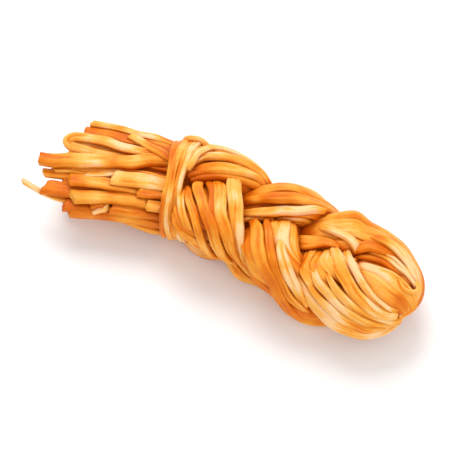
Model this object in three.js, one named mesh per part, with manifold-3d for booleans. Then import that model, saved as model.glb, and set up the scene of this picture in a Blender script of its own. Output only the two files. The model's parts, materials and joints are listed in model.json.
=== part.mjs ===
// A plait of smoked string cheese: one long hank folded at the right end and a third hank tucked
// into the fold are plaited to the neck, bound there by a band of strands, and end in cut tufts.
// Millimetres, +Z up. The plait runs along +X, and the part rests on the plane z = 0.
import * as THREE from 'three';
import { LoftGeometry } from 'three/addons/geometries/LoftGeometry.js';
import { mergeVertices } from 'three/addons/utils/BufferGeometryUtils.js';
import Module from 'manifold-3d';

// Place of the neck's middle in the part's own frame.
const NECK = new THREE.Vector3(-27.835, 4.985, 18.2);

// The plait. A hank's middle swings from side to side once and rises and dips twice in a pitch. It
// lies flat where it crosses over, and rolls quickly round the edges of the plait.
const PITCH = 90;
const SWING = 15.8;
const RISE = 10.2;
const LATE_RISE = 0.2;
const NEAR_LIFT = 1.5;
const SKEW = 0.35;
const AHEAD = 2.5;
const NEAR_TILT = THREE.MathUtils.degToRad(12);
const ROLL_SWING = THREE.MathUtils.degToRad(104);
const QUICK_ROLL = THREE.MathUtils.degToRad(22);
const TURN_STEP = THREE.MathUtils.degToRad(12);
const START_TURN = THREE.MathUtils.degToRad(18);

// How a hank differs at the plait's edges: thicker at both, further out and narrower on the far one,
// and fuller beside the near one.
const EDGE_THICKENING = 0.35;
const FAR_SPREAD = 2.6;
const FAR_NARROWING = 0.24;
const NEAR_FILL = 0.6;

// Section of a hank: a rounded oblong with one lobe for each ribbon of cheese that shows on it.
const HANK_HALF_WIDTH = 11.6;
const HANK_HALF_THICKNESS = 6;
const ROUNDNESS = 2.7;
const RIBBON_SHARES = [1.0, 0.8, 1.15, 0.9, 1.05, 0.85, 1.2, 0.95];
const GROOVE_DEPTH = 0.13;
const RIBBON_UNEVENNESS = { size: 0.05, perStation: 0.35, perRibbon: 2.4 };
const RIBBON_POINTS = 3;

// The plait is drawn in and moved towards +Y at the neck, swells towards the fold and bows a little.
const NECK_SQUEEZE = 0.84;
const NECK_FLATTEN = 0.6;
const NECK_SHIFT = 6;
const NECK_LENGTH = 24;
const FOLD_SWELL = 0.09;
const THICKNESS_SWELL_SHARE = 0.5;
const BOW = 1.5;
const SWELL_FROM = 20;
const SWELL_TO = 75;

// The cut ends run back from the neck, turned towards -Y.
const BRUSH_TURN = THREE.MathUtils.degToRad(15);
const CORE_STATIONS = [1, 0.7, 0.4];
const CORE_HALF_WIDTH = 7.6;
const CORE_HALF_THICKNESS = 9.4;
const STRAND_ROOT = 4;
const STRAND_RINGS = 3;
const STRAND_CURVE = 0.85;
const STRAND_SECTION = [
  [1, 0.4], [0.6, 1], [-0.6, 1], [-1, 0.4], [-1, -0.4], [-0.6, -1], [0.6, -1], [1, -0.4],
];

// Strands that lie on the top and sides of the brush: how far each reaches from the neck, its place
// across and above the middle at the cut end, its place across at the root, width and thickness.
const TOP_STRANDS = [
  { reach: 47.5, side: 22.2, lift: 5, root: 18.5, width: 3.4, thickness: 3.2 },
  { reach: 48, side: 17.2, lift: 7.2, root: 14.5, width: 6.2, thickness: 3.8 },
  { reach: 55, side: 10, lift: 9.8, root: 10, width: 8.4, thickness: 4.8 },
  { reach: 63.5, side: -3, lift: 10.4, root: 7, width: 6.4, thickness: 4.8 },
  { reach: 57.5, side: -7.6, lift: 8.2, root: -1, width: 4.6, thickness: 3.4 },
  { reach: 61.5, side: -11, lift: 6.6, root: -7, width: 3.8, thickness: 3.6 },
  { reach: 48.7, side: -11.4, lift: 9, root: -7.5, width: 6, thickness: 3.2 },
  { reach: 58.6, side: -15.4, lift: 4.4, root: -11, width: 6.4, thickness: 3.8 },
  { reach: 70.5, side: -17.5, lift: 2.4, root: -15, width: 2.8, thickness: 2.4 },
  { reach: 46, side: -17, lift: 5.4, root: -12, width: 6.4, thickness: 4 },
  { reach: 47, side: -20.2, lift: -1.4, root: -15.5, width: 6, thickness: 5.6 },
  { reach: 29.4, side: -6.6, lift: 10.6, root: -3.5, width: 6.6, thickness: 3.6 },
];

// Strands of the lower rows: height of the row, half its spread, and the reach of each strand.
const LOWER_ROWS = [
  { lift: 2, spread: 19, reach: [51, 46, 55, 52, 44] },
  { lift: -4, spread: 17, reach: [43, 54, 49, 57, 51, 55] },
  { lift: -10, spread: 13.5, reach: [47, 52, 56, 50, 53] },
];
const LOWER_WIDTH = 6.6;
const LOWER_THICKNESS = 4.4;
const LOWER_WAVE = { rate: 1.7, side: 1, lift: 0.6, width: 0.18, thickness: -0.15 };
const ROOT_SPREAD = 0.8;

// The band round the neck.
const BAND_TURN = THREE.MathUtils.degToRad(20);
const BAND_SHIFT = 1;
const BAND_HALF_WIDTH = 20;
const BAND_HALF_HEIGHT = 15.4;
const BAND_THICKNESS = 3.4;
const BAND_NARROW = 7;
const BAND_WIDE = 14;
const BAND_WIDEST_TURN = 0.3;
const BAND_RIBBONS = 3;
const BAND_LOBE = [[0.05, 0.55], [0.35, 1], [0.65, 1], [0.95, 0.55]];
const BAND_STEPS = 36;

// Room between pieces that touch, and the floor that the underside is flat on.
const GAP = 0.3;
const FLOOR_SIZE = 400;

// Phase of each hank in the plait, the place and length of its core in the brush, and the part of
// the brush whose strands belong to it. No hank keeps quite to the rule: at each turn in degrees in
// uneven, it lies so far off along X, Y and Z, and has this much of the rule's width.
const HANKS = {
  inner: {
    phase: 0,
    side: 1.5,
    height: 0,
    core: 36,
    from: -6,
    to: 8,
    uneven: [
      [18, -3, 2, 0, 1.2], [42, -6, 0.5, 0, 1.15], [80, -3, -3, 0, 1], [118, 0, -1, -1.6, 1],
      [150, 0, 0, -1.6, 1], [175, 0, 0, 0, 1],
    ],
  },
  outer: {
    phase: THREE.MathUtils.degToRad(120),
    side: 13.5,
    height: -1.5,
    core: 33,
    from: 8,
    to: 30,
    uneven: [
      [18, 0, 0, 0, 1], [66, -4, -1, 0.5, 1.25], [105, -5, -0.5, 0, 1.2], [130, -5, 2.5, 0, 1.05],
      [155, -3, 5.5, 0, 1], [195, 0, 5, 0, 1], [235, 0, 0, 0, 1], [255, 0, 0, 0, 1],
      [285, 0, -3, 0, 1], [300, 0, -2.5, 0, 1],
    ],
  },
  third: {
    phase: THREE.MathUtils.degToRad(240),
    side: -10.8,
    height: -1.5,
    core: 31,
    from: -30,
    to: -6,
    uneven: [
      [18, 0, 6, -4.5, 0.9], [45, 0, 7.5, -3, 0.9], [90, 0, 1, 0, 1], [116, -3, 0, 3, 1],
      [150, 0, 0, 0, 1], [190, 0, -2, 0, 1], [220, 0, 0, 0, 1], [240, 0, 0, -1.6, 1],
      [270, 0, 0, -1.6, 1], [290, 0, 0, 0, 1], [330, -3.5, -1, 0, 1.1],
    ],
  },
};

// Where the hanks leave the regular plait, and the points that they then pass through, measured
// from the neck's middle: place, outward direction of the flat side, half width, half thickness.
const FOLD_ENDS = {
  outer: {
    lastTurn: THREE.MathUtils.degToRad(300),
    path: [
      [87, 13.8, 6, 0, 0.6, 0.8, 11.5, 7.6],
      [97, 14, 4.5, 0.2, 0.7, 0.7, 10.5, 7.2],
      [105.8, 10.5, 3, 0.6, 0.55, 0.6, 9.5, 6.8],
      [111.8, 3, 2.5, 0.88, 0.1, 0.5, 9.2, 6.4],
      [110.8, -3.5, 1.8, 0.65, -0.45, 0.65, 9.2, 6.2],
      [104.5, -5.5, 2, 0.1, -0.35, 0.93, 9, 5.8],
      [97.5, -3.5, 2.6, -0.1, -0.25, 0.96, 8, 5.4],
      [90.5, -0.5, 1.5, -0.1, -0.2, 0.97, 7, 5],
    ],
  },
  inner: {
    lastTurn: THREE.MathUtils.degToRad(340),
    path: [
      [90, 2, -3.5, 0, -0.3, 1, 9.5, 6.5],
      [97, 2, -4, 0, -0.2, 1, 9, 6.5],
      [104, 1, -4, 0.1, -0.2, 1, 8.5, 6.5],
      [108.5, 1, -4, 0.4, -0.1, 0.9, 7.5, 6],
    ],
  },
  third: {
    lastTurn: THREE.MathUtils.degToRad(330),
    path: [
      [88, -15.5, 6.5, 0.05, 0.45, -0.85, 13.8, 7],
      [96, -17.2, 3.5, -0.05, 0.62, -0.78, 13.2, 7],
      [103.5, -16.2, 0.5, -0.25, 0.7, -0.66, 11.5, 6.8],
      [109.5, -12.5, -2.5, -0.45, 0.72, -0.5, 9, 6.2],
      [112, -7, -5.5, -0.7, 0.6, -0.3, 7, 5.5],
      [110.5, -1.5, -8, -0.85, 0.3, -0.1, 6, 5],
    ],
  },
};
const STATION_STEP = 4.9;
const DIRECTION_LENGTH = 10;

const MERGE_DISTANCE = 1e-3;
const ROUGHNESS = 0.45;
const COLOURS = { hank: 0xeba04a, band: 0xedab55 };

const wasm = await Module();
wasm.setup();

const vector = (x, y, z) => new THREE.Vector3(x, y, z);
const { lerp: mix, smoothstep: smooth } = THREE.MathUtils;

// A closed geometry becomes a solid that can be joined and cut, and the other way round.
function toSolid(geometry) {
  const bare = new THREE.BufferGeometry();
  bare.setAttribute('position', geometry.getAttribute('position'));
  bare.setIndex(geometry.getIndex());
  const merged = mergeVertices(bare, MERGE_DISTANCE);
  const vertProperties = merged.getAttribute('position').array;
  const triVerts = Uint32Array.from(merged.getIndex().array);
  return new wasm.Manifold(new wasm.Mesh({ numProp: 3, vertProperties, triVerts }));
}

function toGeometry(solid) {
  const { vertProperties, triVerts } = solid.getMesh();
  const geometry = new THREE.BufferGeometry();
  geometry.setAttribute('position', new THREE.BufferAttribute(vertProperties, 3));
  geometry.setIndex(new THREE.BufferAttribute(triVerts, 1));
  geometry.computeVertexNormals();
  return geometry;
}

// Joins solids, fills hollows that the joins seal, and drops scraps that the cuts leave loose.
const join = (solids) => solids.reduce((all, next) => all.add(next));
const largest = (solid) => solid.decompose().reduce((a, b) => (b.volume() > a.volume() ? b : a));

// A point of the brush: distance back from the neck, distance towards +Y, height.
function brushPoint(distance, side, height) {
  return vector(
    -distance * Math.cos(BRUSH_TURN) - side * Math.sin(BRUSH_TURN),
    -distance * Math.sin(BRUSH_TURN) + side * Math.cos(BRUSH_TURN),
    height,
  );
}

// How far a hank is off the rule at a turn, by straight lines between the turns that are stated.
function unevenness(turn, rows) {
  const degrees = THREE.MathUtils.radToDeg(turn);
  const next = rows.findIndex(([stated]) => stated > degrees);
  if (next < 1) {
    return rows.at(next).slice(1);
  }
  const [[before, ...low], [after, ...high]] = [rows[next - 1], rows[next]];
  return low.map((value, k) => mix(value, high[k], (degrees - before) / (after - before)));
}

// One station of a hank in the plait. With u the turn plus the hank's phase, y goes as sin u and z
// as sin 2u, and x grows with the turn and with y.
function plaitStation(turn, { phase, uneven }) {
  const u = turn + phase;
  const along = (PITCH * turn) / (2 * Math.PI);
  const outOfNeck = smooth(along, 0, NECK_LENGTH);
  const squeeze = mix(NECK_SQUEEZE, 1, outOfNeck);
  const nearFold = smooth(along, SWELL_FROM, SWELL_TO);
  const swell = 1 + FOLD_SWELL * nearFold;
  const far = Math.max(Math.sin(u), 0) ** 2;
  const near = Math.max(-Math.sin(u), 0) ** 2;
  const edge = FAR_SPREAD * far - 4 * NEAR_FILL * near * (1 - near);
  const y = SWING * squeeze * swell * Math.sin(u) + edge;
  const rise = RISE * Math.sin(2 * u - LATE_RISE * Math.cos(u)) - NEAR_LIFT * Math.cos(u);
  const roll = Math.PI / 2 - NEAR_TILT - ROLL_SWING * Math.cos(u) + QUICK_ROLL * Math.cos(3 * u);
  const thicken = mix(1, swell, THICKNESS_SWELL_SHARE) * (1 + EDGE_THICKENING * Math.sin(u) ** 4);
  const [offX, offY, offZ, wider] = unevenness(turn, uneven);
  return {
    place: vector(
      along + SKEW * y + AHEAD + offX,
      y - BOW * nearFold + NECK_SHIFT * (1 - outOfNeck) + offY,
      rise * mix(NECK_FLATTEN, 1, outOfNeck) + offZ,
    ),
    out: vector(0, Math.sin(roll), Math.cos(roll)),
    halfWidth: HANK_HALF_WIDTH * squeeze * swell * (1 - FAR_NARROWING * far) * wider,
    halfThickness: HANK_HALF_THICKNESS * thicken,
  };
}

// The points that a hank passes through: its tuft, the plait, and its own end at the fold.
function hankGuides(hank, { lastTurn, path }) {
  const { side, height, core } = hank;
  const first = plaitStation(START_TURN, hank);
  const guides = CORE_STATIONS.map((share) => ({
    place: brushPoint(core * share, side, height),
    out: first.out,
    halfWidth: CORE_HALF_THICKNESS,
    halfThickness: CORE_HALF_WIDTH,
  }));
  for (let turn = START_TURN; turn <= lastTurn; turn += TURN_STEP) {
    guides.push(plaitStation(turn, hank));
  }
  path.forEach(([x, y, z, outX, outY, outZ, halfWidth, halfThickness]) => guides.push({
    place: vector(x, y, z),
    out: vector(outX, outY, outZ).normalize(),
    halfWidth,
    halfThickness,
  }));
  return guides;
}

// Evenly spaced stations on a smooth curve through the guides. The direction of a station is taken
// over a length of the hank, so that neighbouring rings don't cross inside a bend.
function hankStations(hank, end) {
  const guides = hankGuides(hank, end);
  const curve = new THREE.CatmullRomCurve3(guides.map(({ place }) => place), false, 'centripetal');
  const steps = Math.round(curve.getLength() / STATION_STEP);
  const last = guides.length - 1;
  const reach = DIRECTION_LENGTH / curve.getLength();
  return Array.from({ length: steps + 1 }, (_, index) => {
    const at = index / steps;
    const share = curve.getUtoTmapping(at) * last;
    const k = Math.min(Math.floor(share), last - 1);
    const ahead = curve.getPointAt(Math.min(at + reach, 1));
    const behind = curve.getPointAt(Math.max(at - reach, 0));
    return {
      place: curve.getPointAt(at),
      tangent: ahead.sub(behind).normalize(),
      out: guides[k].out.clone().lerp(guides[k + 1].out, share - k),
      halfWidth: mix(guides[k].halfWidth, guides[k + 1].halfWidth, share - k),
      halfThickness: mix(guides[k].halfThickness, guides[k + 1].halfThickness, share - k),
    };
  });
}

// Coordinates of the hank's section at an angle, as shares of its half width and half thickness.
function sectionPoint(angle) {
  const rounded = (value) => Math.sign(value) * Math.abs(value) ** (2 / ROUNDNESS);
  return [rounded(Math.cos(angle)), rounded(Math.sin(angle))];
}

// The share of the way round the section, by length, at every degree of its angle.
function lengthShares() {
  const lengths = [0];
  for (let degree = 1; degree <= 360; degree += 1) {
    const [fromAcross, fromUp] = sectionPoint(THREE.MathUtils.degToRad(degree - 1));
    const [across, up] = sectionPoint(THREE.MathUtils.degToRad(degree));
    const stepAcross = HANK_HALF_WIDTH * (across - fromAcross);
    const stepUp = HANK_HALF_THICKNESS * (up - fromUp);
    lengths.push(lengths.at(-1) + Math.hypot(stepAcross, stepUp));
  }
  return lengths.map((length) => length / lengths.at(-1));
}

const SHARE_AT_DEGREE = lengthShares();

function angleAt(share) {
  const wrapped = share - Math.floor(share);
  const degree = SHARE_AT_DEGREE.findIndex((value) => value > wrapped);
  const [low, high] = [SHARE_AT_DEGREE[degree - 1], SHARE_AT_DEGREE[degree]];
  return THREE.MathUtils.degToRad(degree - 1 + (wrapped - low) / (high - low));
}

// A direction with its share along the tangent taken off.
const square = (direction, tangent) => direction.clone().projectOnPlane(tangent).normalize();

// One ring of a hank: a rounded oblong with a groove between each ribbon and the next. The oblong
// rolls with the flat side, and the ribbons slide round it by as much, so that each keeps its side.
function hankRing({ place, tangent, out, halfWidth, halfThickness }, index, grow) {
  const normal = square(out, tangent);
  const side = normal.clone().cross(tangent);
  const upward = square(vector(0, 0, 1), tangent);
  const roll = Math.atan2(normal.dot(upward.clone().cross(tangent)), normal.dot(upward));
  const total = RIBBON_SHARES.reduce((sum, share) => sum + share);
  const { size, perStation, perRibbon } = RIBBON_UNEVENNESS;
  const ring = [];
  let start = 0;
  RIBBON_SHARES.forEach((share, ribbon) => {
    const crest = 1 + size * Math.sin(index * perStation + ribbon * perRibbon);
    for (let point = 0; point < RIBBON_POINTS; point += 1) {
      const radius = point === 0 ? 1 - GROOVE_DEPTH : crest;
      const round = (start + (point * share) / RIBBON_POINTS) / total + roll / (2 * Math.PI);
      const [across, up] = sectionPoint(angleAt(round));
      ring.push(place.clone()
        .addScaledVector(side, across * (halfWidth * radius + grow))
        .addScaledVector(normal, up * (halfThickness * radius + grow)));
    }
    start += share;
  });
  return ring;
}

function hankBody(name, grow) {
  const stations = hankStations(HANKS[name], FOLD_ENDS[name]);
  const rings = stations.map((station, index) => hankRing(station, index, grow));
  return toSolid(new LoftGeometry(rings, { capStart: true, capEnd: true }));
}

// Every strand of the brush; those of the lower rows differ from one another by a slow wave.
function strands() {
  const lower = LOWER_ROWS.flatMap(({ lift, spread, reach }, row) => reach.map((far, index) => {
    const side = spread * (1 - (2 * index) / (reach.length - 1));
    const wave = Math.sin(far * LOWER_WAVE.rate + row);
    return {
      reach: far,
      side: side + LOWER_WAVE.side * wave,
      lift: lift + LOWER_WAVE.lift * wave,
      root: side * ROOT_SPREAD,
      width: LOWER_WIDTH * (1 + LOWER_WAVE.width * wave),
      thickness: LOWER_THICKNESS * (1 + LOWER_WAVE.thickness * wave),
    };
  }));
  return [...TOP_STRANDS, ...lower];
}

// The solid of a strand: a flat bar with bevelled edges from its root to its cut end.
function strandBody({ reach, side, lift, root, width, thickness }, grow) {
  const rings = [];
  for (let step = 0; step < STRAND_RINGS; step += 1) {
    const share = step / (STRAND_RINGS - 1);
    const centre = brushPoint(
      mix(STRAND_ROOT, reach + grow, share),
      mix(root, side, share ** STRAND_CURVE),
      mix(lift * ROOT_SPREAD, lift, share),
    );
    rings.push(STRAND_SECTION.map(([across, up]) => centre.clone()
      .addScaledVector(brushPoint(0, -1, 0), across * (width / 2 + grow))
      .addScaledVector(vector(0, 0, 1), up * (thickness / 2 + grow))));
  }
  return toSolid(new LoftGeometry(rings, { capStart: true, capEnd: true }));
}

// The strands of one hank are those whose roots lie in its own part of the brush.
function tuft(name, grow) {
  const { from, to } = HANKS[name];
  const own = strands().filter(({ root }) => root >= from && root < to);
  return join(own.map((strand) => strandBody(strand, grow)));
}

// One ring of the band, at an angle round the neck from the top towards -Y. When it's grown, to make
// room for the band, it has no valleys between the ribbons.
function bandRing(angle, grow) {
  const radial = vector(
    Math.sin(angle) * Math.sin(BAND_TURN),
    -Math.sin(angle) * Math.cos(BAND_TURN),
    Math.cos(angle),
  );
  const along = vector(Math.cos(BAND_TURN), Math.sin(BAND_TURN), 0);
  const place = radial.clone()
    .multiply(vector(BAND_HALF_WIDTH, BAND_HALF_WIDTH, BAND_HALF_HEIGHT))
    .add(vector(0, BAND_SHIFT, 0));
  const wide = (1 - Math.cos(2 * (angle - BAND_WIDEST_TURN))) / 2;
  const halfWidth = mix(BAND_NARROW, BAND_WIDE, wide) / 2 + grow;
  const outer = [];
  for (let ribbon = 0; ribbon < BAND_RIBBONS; ribbon += 1) {
    BAND_LOBE.forEach(([across, height]) => {
      outer.push([((ribbon + across) / BAND_RIBBONS) * 2 - 1, grow > 0 ? 1 : height]);
    });
  }
  const section = [[-1, -grow / BAND_THICKNESS], ...outer, [1, -grow / BAND_THICKNESS]];
  return section.map(([across, height]) => place.clone()
    .addScaledVector(along, -across * halfWidth)
    .addScaledVector(radial, height * (BAND_THICKNESS + grow)));
}

function band(grow) {
  const rings = [];
  for (let step = 0; step <= BAND_STEPS; step += 1) {
    rings.push(bandRing(((step % BAND_STEPS) / BAND_STEPS) * 2 * Math.PI, grow));
  }
  return toSolid(new LoftGeometry(rings));
}

// Everything below the plane that the part rests on.
function floor() {
  const box = new THREE.BoxGeometry(FLOOR_SIZE, FLOOR_SIZE, FLOOR_SIZE);
  return toSolid(box.translate(0, 0, -NECK.z - FLOOR_SIZE / 2));
}

function piece(name, solid, colour) {
  const material = new THREE.MeshStandardMaterial({ color: colour, roughness: ROUGHNESS, metalness: 0 });
  const mesh = new THREE.Mesh(toGeometry(solid), material);
  mesh.name = name;
  return mesh;
}

const hank = (name, grow) => largest(join([hankBody(name, grow), tuft(name, grow)]));

const below = floor();
const bandRoom = band(GAP);
const thirdWhole = hank('third', 0);
const thirdRoom = join([thirdWhole, hank('third', GAP)]);
const thirdHank = largest(thirdWhole.subtract(bandRoom).subtract(below));
const foldedWhole = largest(join([hank('outer', 0), hank('inner', 0)]));
const foldedHank = largest(foldedWhole.subtract(thirdRoom).subtract(bandRoom).subtract(below));

const plait = new THREE.Group();
plait.position.copy(NECK);
plait.add(
  piece('folded_hank', foldedHank, COLOURS.hank),
  piece('third_hank', thirdHank, COLOURS.hank),
  piece('neck_band', band(0).subtract(below), COLOURS.band),
);

export default plait;
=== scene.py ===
"""A plait of smoked string cheese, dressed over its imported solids.

Three legs of cheese ribbons are plaited from a bound neck to a fold, and end behind the neck in a
brush of cut strands. Lengths in the tables and shape functions are millimetres, measured from the
middle of the neck with +X along the plait and +Z up. Meshes are written in metres.
"""
import json
import math

import bpy
import numpy as np
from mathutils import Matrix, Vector

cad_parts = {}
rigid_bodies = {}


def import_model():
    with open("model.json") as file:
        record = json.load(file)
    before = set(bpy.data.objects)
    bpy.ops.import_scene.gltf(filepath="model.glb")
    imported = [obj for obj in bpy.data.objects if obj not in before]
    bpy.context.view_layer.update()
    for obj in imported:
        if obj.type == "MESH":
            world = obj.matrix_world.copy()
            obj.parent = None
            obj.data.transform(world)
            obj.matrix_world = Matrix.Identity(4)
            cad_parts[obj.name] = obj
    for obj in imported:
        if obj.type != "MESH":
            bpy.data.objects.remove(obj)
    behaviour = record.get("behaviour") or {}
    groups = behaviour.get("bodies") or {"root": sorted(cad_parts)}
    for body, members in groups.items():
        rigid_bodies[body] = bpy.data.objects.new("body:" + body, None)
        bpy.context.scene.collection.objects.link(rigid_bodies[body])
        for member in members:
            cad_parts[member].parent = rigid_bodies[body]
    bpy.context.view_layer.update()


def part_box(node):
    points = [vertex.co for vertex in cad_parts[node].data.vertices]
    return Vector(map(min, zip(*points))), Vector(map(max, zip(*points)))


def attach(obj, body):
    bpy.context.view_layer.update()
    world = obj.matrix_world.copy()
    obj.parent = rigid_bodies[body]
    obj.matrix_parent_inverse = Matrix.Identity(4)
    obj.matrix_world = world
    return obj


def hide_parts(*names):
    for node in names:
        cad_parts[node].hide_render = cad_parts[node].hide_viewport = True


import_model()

bl_info = {
    "name": "String cheese plait",
    "version": (1, 0, 0),
    "blender": (4, 5, 0),
    "location": "View3D > Sidebar > String cheese",
    "description": "Builds the ribbons, cut strands, band and finish of a plait of string cheese",
    "category": "Add Mesh",
}

MM = 0.001
BODY = "root"

# The neck's middle, from the band that goes round it.
BAND_SHIFT = 1.0
BAND_HALF_WIDTH = 20.0
BAND_HALF_HEIGHT = 15.4
BAND_THICKNESS = 3.4
BAND_LOW, BAND_HIGH = (np.array(corner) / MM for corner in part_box("neck_band"))
NECK = np.array([
    (BAND_LOW[0] + BAND_HIGH[0]) / 2,
    (BAND_LOW[1] + BAND_HIGH[1]) / 2 - BAND_SHIFT,
    BAND_HIGH[2] - BAND_HALF_HEIGHT - BAND_THICKNESS,
])

# How high a single ribbon's upper edge may lie over the neck's middle: a little over the solids.
SOLIDS = ("folded_hank", "third_hank", "neck_band")
PROUD_OF_SOLIDS = 0.75
HIGHEST = max(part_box(node)[1][2] for node in SOLIDS) / MM - NECK[2] + PROUD_OF_SOLIDS

# The plait's rule: how a leg turns, swells and bows on its way from the neck to the fold.
NECK_SQUEEZE = 0.84
NECK_FLATTEN = 0.6
NECK_LENGTH = 24
NECK_SHIFT = 6
FOLD_SWELL = 0.09
BOW = 1.5
SWELL_FROM = 20
SWELL_TO = 75
AHEAD = 2.5
NEAR_LIFT = 1.5
LATE_RISE = 0.2
QUICK_ROLL = math.radians(22)
NEAR_TILT = math.radians(12)
EDGE_THICKENING = 0.35
FAR_SPREAD = 2.6
FAR_NARROWING = 0.24
NEAR_FILL = 0.6
START_TURN = math.radians(18)
TURN_STEP = math.radians(12)
SECTION_POWER = 2.7
SECTION_ASPECT = 1.4

# The brush: its turn towards -Y, how far each leg's core reaches back into it, and how much narrower
# the core is there.
BRUSH_TURN = math.radians(15)
CORE_REACH = 9
ROOT_NARROWING = 0.92

# Each leg: its phase in the plait, its place across the brush, and its ribbons, from the +Y side over
# the top to the -Y side and back underneath. A ribbon has a width and a shade where the leg first
# comes over the top of the plait, and again where it next does, at the places `over` along X. A shade
# runs from 0, deep orange, to 1, cream. No leg keeps quite to the rule: at each turn in degrees in
# `uneven`, it lies so far off along X, Y and Z, and has this much of the rule's width.
LEGS = {
    "inner": {
        "phase": 0.0, "side": 1.5, "height": 0.0, "last_turn": math.radians(340), "seed": 11,
        "over": (22, 56),
        "uneven": [
            (18, -3.0, 2.0, 0.0, 1.2), (42, -6.0, 0.5, 0.0, 1.15), (80, -3.0, -3.0, 0.0, 1.0),
            (118, 0.0, -1.0, -1.6, 1.0), (150, 0.0, 0.0, -1.6, 1.0), (175, 0.0, 0.0, 0.0, 1.0),
        ],
        "ribbons": [
            (5.0, 0.62, 8.5, 0.62), (7.0, 0.68, 5.5, 0.72), (4.5, 0.62, 5.0, 0.40), (10.5, 0.56, 9.0, 0.30),
            (3.5, 0.35, 4.5, 0.22), (6.0, 0.50, 2.8, 0.82), (6.0, 0.50, 4.5, 0.50), (5.5, 0.50, 6.0, 0.50),
            (5.0, 0.50, 6.0, 0.45), (5.0, 0.50, 6.0, 0.50),
        ],
    },
    "outer": {
        "phase": math.radians(120), "side": 13.5, "height": -1.5, "last_turn": math.radians(300), "seed": 23,
        "over": (36, 68),
        "uneven": [
            (18, 0.0, 0.0, 0.0, 1.0), (66, -4.0, -1.0, 0.5, 1.25), (105, -5.0, -0.5, 0.0, 1.2),
            (130, -5.0, 2.5, 0.0, 1.05), (155, -3.0, 5.5, 0.0, 1.0), (195, 0.0, 5.0, 0.0, 1.0),
            (235, 0.0, 0.0, 0.0, 1.0), (255, 0.0, 0.0, 0.0, 1.0), (285, 0.0, -3.0, 0.0, 1.0),
            (300, 0.0, -2.5, 0.0, 1.0),
        ],
        "ribbons": [
            (5.5, 0.62, 9.0, 0.60), (4.2, 0.52, 11.0, 0.66), (7.0, 0.64, 7.0, 0.36), (4.5, 0.22, 4.0, 0.45),
            (4.8, 0.50, 3.5, 0.70), (4.2, 0.42, 3.0, 0.45), (4.8, 0.56, 4.0, 0.50), (5.0, 0.50, 5.0, 0.50),
            (6.0, 0.45, 5.0, 0.50), (6.0, 0.50, 6.0, 0.50), (6.0, 0.50, 5.0, 0.50),
        ],
    },
    "third": {
        "phase": math.radians(240), "side": -10.8, "height": -1.5, "last_turn": math.radians(330), "seed": 37,
        "over": (50, 84),
        "uneven": [
            (18, 0.0, 6.0, -4.5, 0.9), (45, 0.0, 7.5, -3.0, 0.9), (90, 0.0, 1.0, 0.0, 1.0),
            (116, -3.0, 0.0, 3.0, 1.0), (150, 0.0, 0.0, 0.0, 1.0), (190, 0.0, -2.0, 0.0, 1.0),
            (220, 0.0, 0.0, 0.0, 1.0), (240, 0.0, 0.0, -1.6, 1.0), (270, 0.0, 0.0, -1.6, 1.0),
            (290, 0.0, 0.0, 0.0, 1.0), (330, -3.5, -1.0, 0.0, 1.1),
        ],
        "ribbons": [
            (5.0, 0.55, 5.0, 0.90), (7.0, 0.60, 7.0, 0.86), (5.5, 0.45, 4.5, 0.72), (7.0, 0.36, 3.5, 0.50),
            (5.0, 0.84, 5.0, 0.74), (2.6, 0.80, 8.0, 0.84), (5.0, 0.50, 5.0, 0.76), (6.0, 0.50, 5.0, 0.66),
            (6.0, 0.50, 5.0, 0.55), (6.0, 0.50, 5.0, 0.50), (5.0, 0.50, 5.0, 0.50),
        ],
    },
}

# The middle of the plait, between the legs: its ends along X, its middle, half width and half
# thickness, the length of its rounded ends, its section's power, and the step between its rings.
MIDDLE = {
    "ends": (4, 92), "side": 1.5, "half_width": 11.0, "half_thickness": 5.0,
    "tip": 8, "power": 2.2, "step": 2.0,
}

# Where each leg leaves the regular plait, and what it then passes through on its way round the fold:
# place, outward direction of its flat side, half width and half thickness.
FOLD_PATHS = {
    "outer": [
        [87, 13.8, 6, 0, 0.6, 0.8, 11.5, 7.6],
        [97, 14.0, 4.5, 0.2, 0.7, 0.7, 10.5, 7.2],
        [105.8, 10.5, 3, 0.6, 0.55, 0.6, 9.5, 6.8],
        [111.8, 3, 2.5, 0.88, 0.1, 0.5, 9.2, 6.4],
        [110.8, -3.5, 1.8, 0.65, -0.45, 0.65, 9.2, 6.2],
        [104.5, -5.5, 2, 0.1, -0.35, 0.93, 9, 5.8],
        [97.5, -3.5, 2.6, -0.1, -0.25, 0.96, 8, 5.4],
        [90.5, -0.5, 1.5, -0.1, -0.2, 0.97, 7, 5],
        [84.5, 3, -2, -0.2, 0, 0.97, 5.5, 4.5],
    ],
    "inner": [
        [90, 2, -3.5, 0, -0.3, 1, 9.5, 6.5],
        [97, 2, -4, 0, -0.2, 1, 9, 6.5],
        [104, 1, -4, 0.1, -0.2, 1, 8.5, 6.5],
        [108.5, 1, -4, 0.4, -0.1, 0.9, 7.5, 6],
    ],
    "third": [
        [88, -15.5, 6.5, 0.05, 0.45, -0.85, 13.8, 7],
        [96, -17.2, 3.5, -0.05, 0.62, -0.78, 13.2, 7],
        [103.5, -16.2, 0.5, -0.25, 0.7, -0.66, 11.5, 6.8],
        [108.7, -12, -1.6, -0.45, 0.72, -0.5, 8.6, 6.2],
        [111, -6.8, -4.2, -0.7, 0.6, -0.3, 6.6, 5.5],
        [110, -1.5, -7, -0.85, 0.3, -0.1, 6, 5],
    ],
}

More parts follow.
